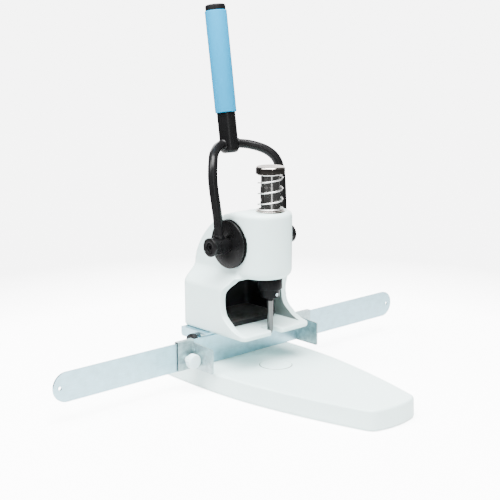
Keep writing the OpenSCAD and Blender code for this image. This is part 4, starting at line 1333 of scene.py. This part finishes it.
@dataclass
class Studio:
    """Floor, lamps, white surroundings and the camera of the photograph."""

    # Camera: its angles in degrees, its distance, and its shift from the machine's origin
    azimuth: float = 42.40
    elevation: float = 12.00
    roll: float = -0.07
    distance: float = 1104.8 * MM
    aside: float = 19.0 * MM
    below: float = -132.0 * MM
    # Its focal length, the picture's side and its middle in pixels, and the sensor in mm
    focal_pixels: float = 1100.0
    picture: float = 500.0
    middle_x: float = 251.0
    middle_y: float = 249.9
    sensor: float = 36.0
    floor_size: float = 8.0
    floor_drop: float = 0.02 * MM
    floor_roughness: float = 0.9
    # Tones of the table top and the room, and where one passes into the other
    table_tone: float = 0.8
    table_near: float = 0.35
    table_far: float = 0.6
    room_tone: float = 0.02
    # Strength of the surroundings, as the camera sees them and as they light the machine
    white: float = 6.5
    ambient: float = 0.22
    lamps: tuple[Lamp, ...] = (
        Lamp("overhead", (-0.35, -0.35, 2.1), (1.7, 1.7), 305),
        Lamp("left", (-1.5, 0.4, 1.6), (1.2, 1.2), 78),
        Lamp("strip", (-0.75, -1.45, 0.6), (0.16, 1.1), 6),
        Lamp("front", (0.35, -1.7, 0.9), (0.8, 0.8), 15, mirrored=False),
        Lamp("backdrop", (1.6, 1.75, 0.75), (2.6, 1.9), 70))
    aim: Point = (0, 0, 0.12)

    def build(self) -> None:
        """Builds the studio."""
        self.camera()
        self.floor()
        self.world()
        for lamp in self.lamps:
            lamp.build(self.aim)

    def camera(self) -> None:
        """Places the camera at the photograph's view."""
        azimuth, elevation, roll = (math.radians(a)
                                    for a in (self.azimuth, self.elevation, self.roll))
        forward = Vector((math.sin(azimuth) * math.cos(elevation),
                          math.cos(azimuth) * math.cos(elevation), -math.sin(elevation)))
        right = Vector((math.cos(azimuth), -math.sin(azimuth), 0))
        up = right.cross(forward)
        across = right * math.cos(roll) + up * math.sin(roll)
        upward = up * math.cos(roll) - right * math.sin(roll)
        place = -(across * self.aside + upward * self.below + forward * self.distance)
        data = bpy.data.cameras.new("camera")
        data.sensor_width = self.sensor
        data.lens = self.focal_pixels * self.sensor / self.picture
        data.shift_x = (self.picture / 2 - self.middle_x) / self.picture
        data.shift_y = (self.middle_y - self.picture / 2) / self.picture
        camera = bpy.data.objects.new("camera", data)
        camera.matrix_world = Matrix((
            (across.x, upward.x, -forward.x, place.x),
            (across.y, upward.y, -forward.y, place.y),
            (across.z, upward.z, -forward.z, place.z),
            (0, 0, 0, 1)))
        bpy.context.scene.collection.objects.link(camera)
        bpy.context.scene.camera = camera

    def floor(self) -> None:
        """Builds the plain pale floor, a table top whose far parts reflect little."""
        bm = bmesh.new()
        bmesh.ops.create_grid(bm, x_segments=1, y_segments=1, size=self.floor_size / 2)
        mesh = bpy.data.meshes.new("floor")
        bm.to_mesh(mesh)
        bm.free()
        shader = Shader("floor")
        shader.constants(roughness=self.floor_roughness, specular_ior_level=0.0,
                         emission_color=(1, 1, 1))
        away = shader.node("VectorMath", operation="LENGTH")
        shader.link(shader.place(), away.inputs[0])
        shader.link(shader.blend(away.outputs["Value"], (self.table_tone,) * 3,
                                 (self.room_tone,) * 3, self.table_near, self.table_far),
                    shader.surface.inputs["Base Color"])
        seen = shader.node("LightPath").outputs["Is Camera Ray"]
        shader.link(shader.spread(seen, 0, self.white, 0, 1),
                    shader.surface.inputs["Emission Strength"])
        mesh.materials.append(shader.material)
        floor = bpy.data.objects.new("floor", mesh)
        floor.location.z = -self.floor_drop
        bpy.context.scene.collection.objects.link(floor)

    def world(self) -> None:
        """Builds the white backdrop and the dim light of the room around it."""
        world = bpy.data.worlds.new("studio")
        world.use_nodes = True
        tree = world.node_tree
        background = tree.nodes["Background"]
        background.inputs["Color"].default_value = (1, 1, 1, 1)
        seen = tree.nodes.new("ShaderNodeLightPath").outputs["Is Camera Ray"]
        strength = tree.nodes.new("ShaderNodeMapRange")
        strength.inputs["To Min"].default_value = self.ambient
        strength.inputs["To Max"].default_value = self.white
        tree.links.new(seen, strength.inputs["Value"])
        tree.links.new(strength.outputs["Result"], background.inputs["Strength"])
        bpy.context.scene.world = world


def machine() -> list[SubAssembly]:
    """The sub-assemblies of the punch, in the order in which they are built."""
    return [Base(), Frame(), RamGroup(), Lever(), BackGauge(),
            *(PaperGuide(side) for side in Side)]


def main() -> None:
    """Builds the studio and the machine, and reports each piece."""
    logging.basicConfig(level=logging.INFO, format="%(name)s: %(message)s")
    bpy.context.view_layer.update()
    Studio().build()
    for group in machine():
        known = {piece.name for piece in bpy.data.objects}
        group.build()
        for piece in bpy.data.objects:
            if piece.name not in known:
                log.info("%s: %s, %d faces", type(group).__name__, piece.name,
                         len(piece.data.polygons))


if __name__ == "__main__":
    main()
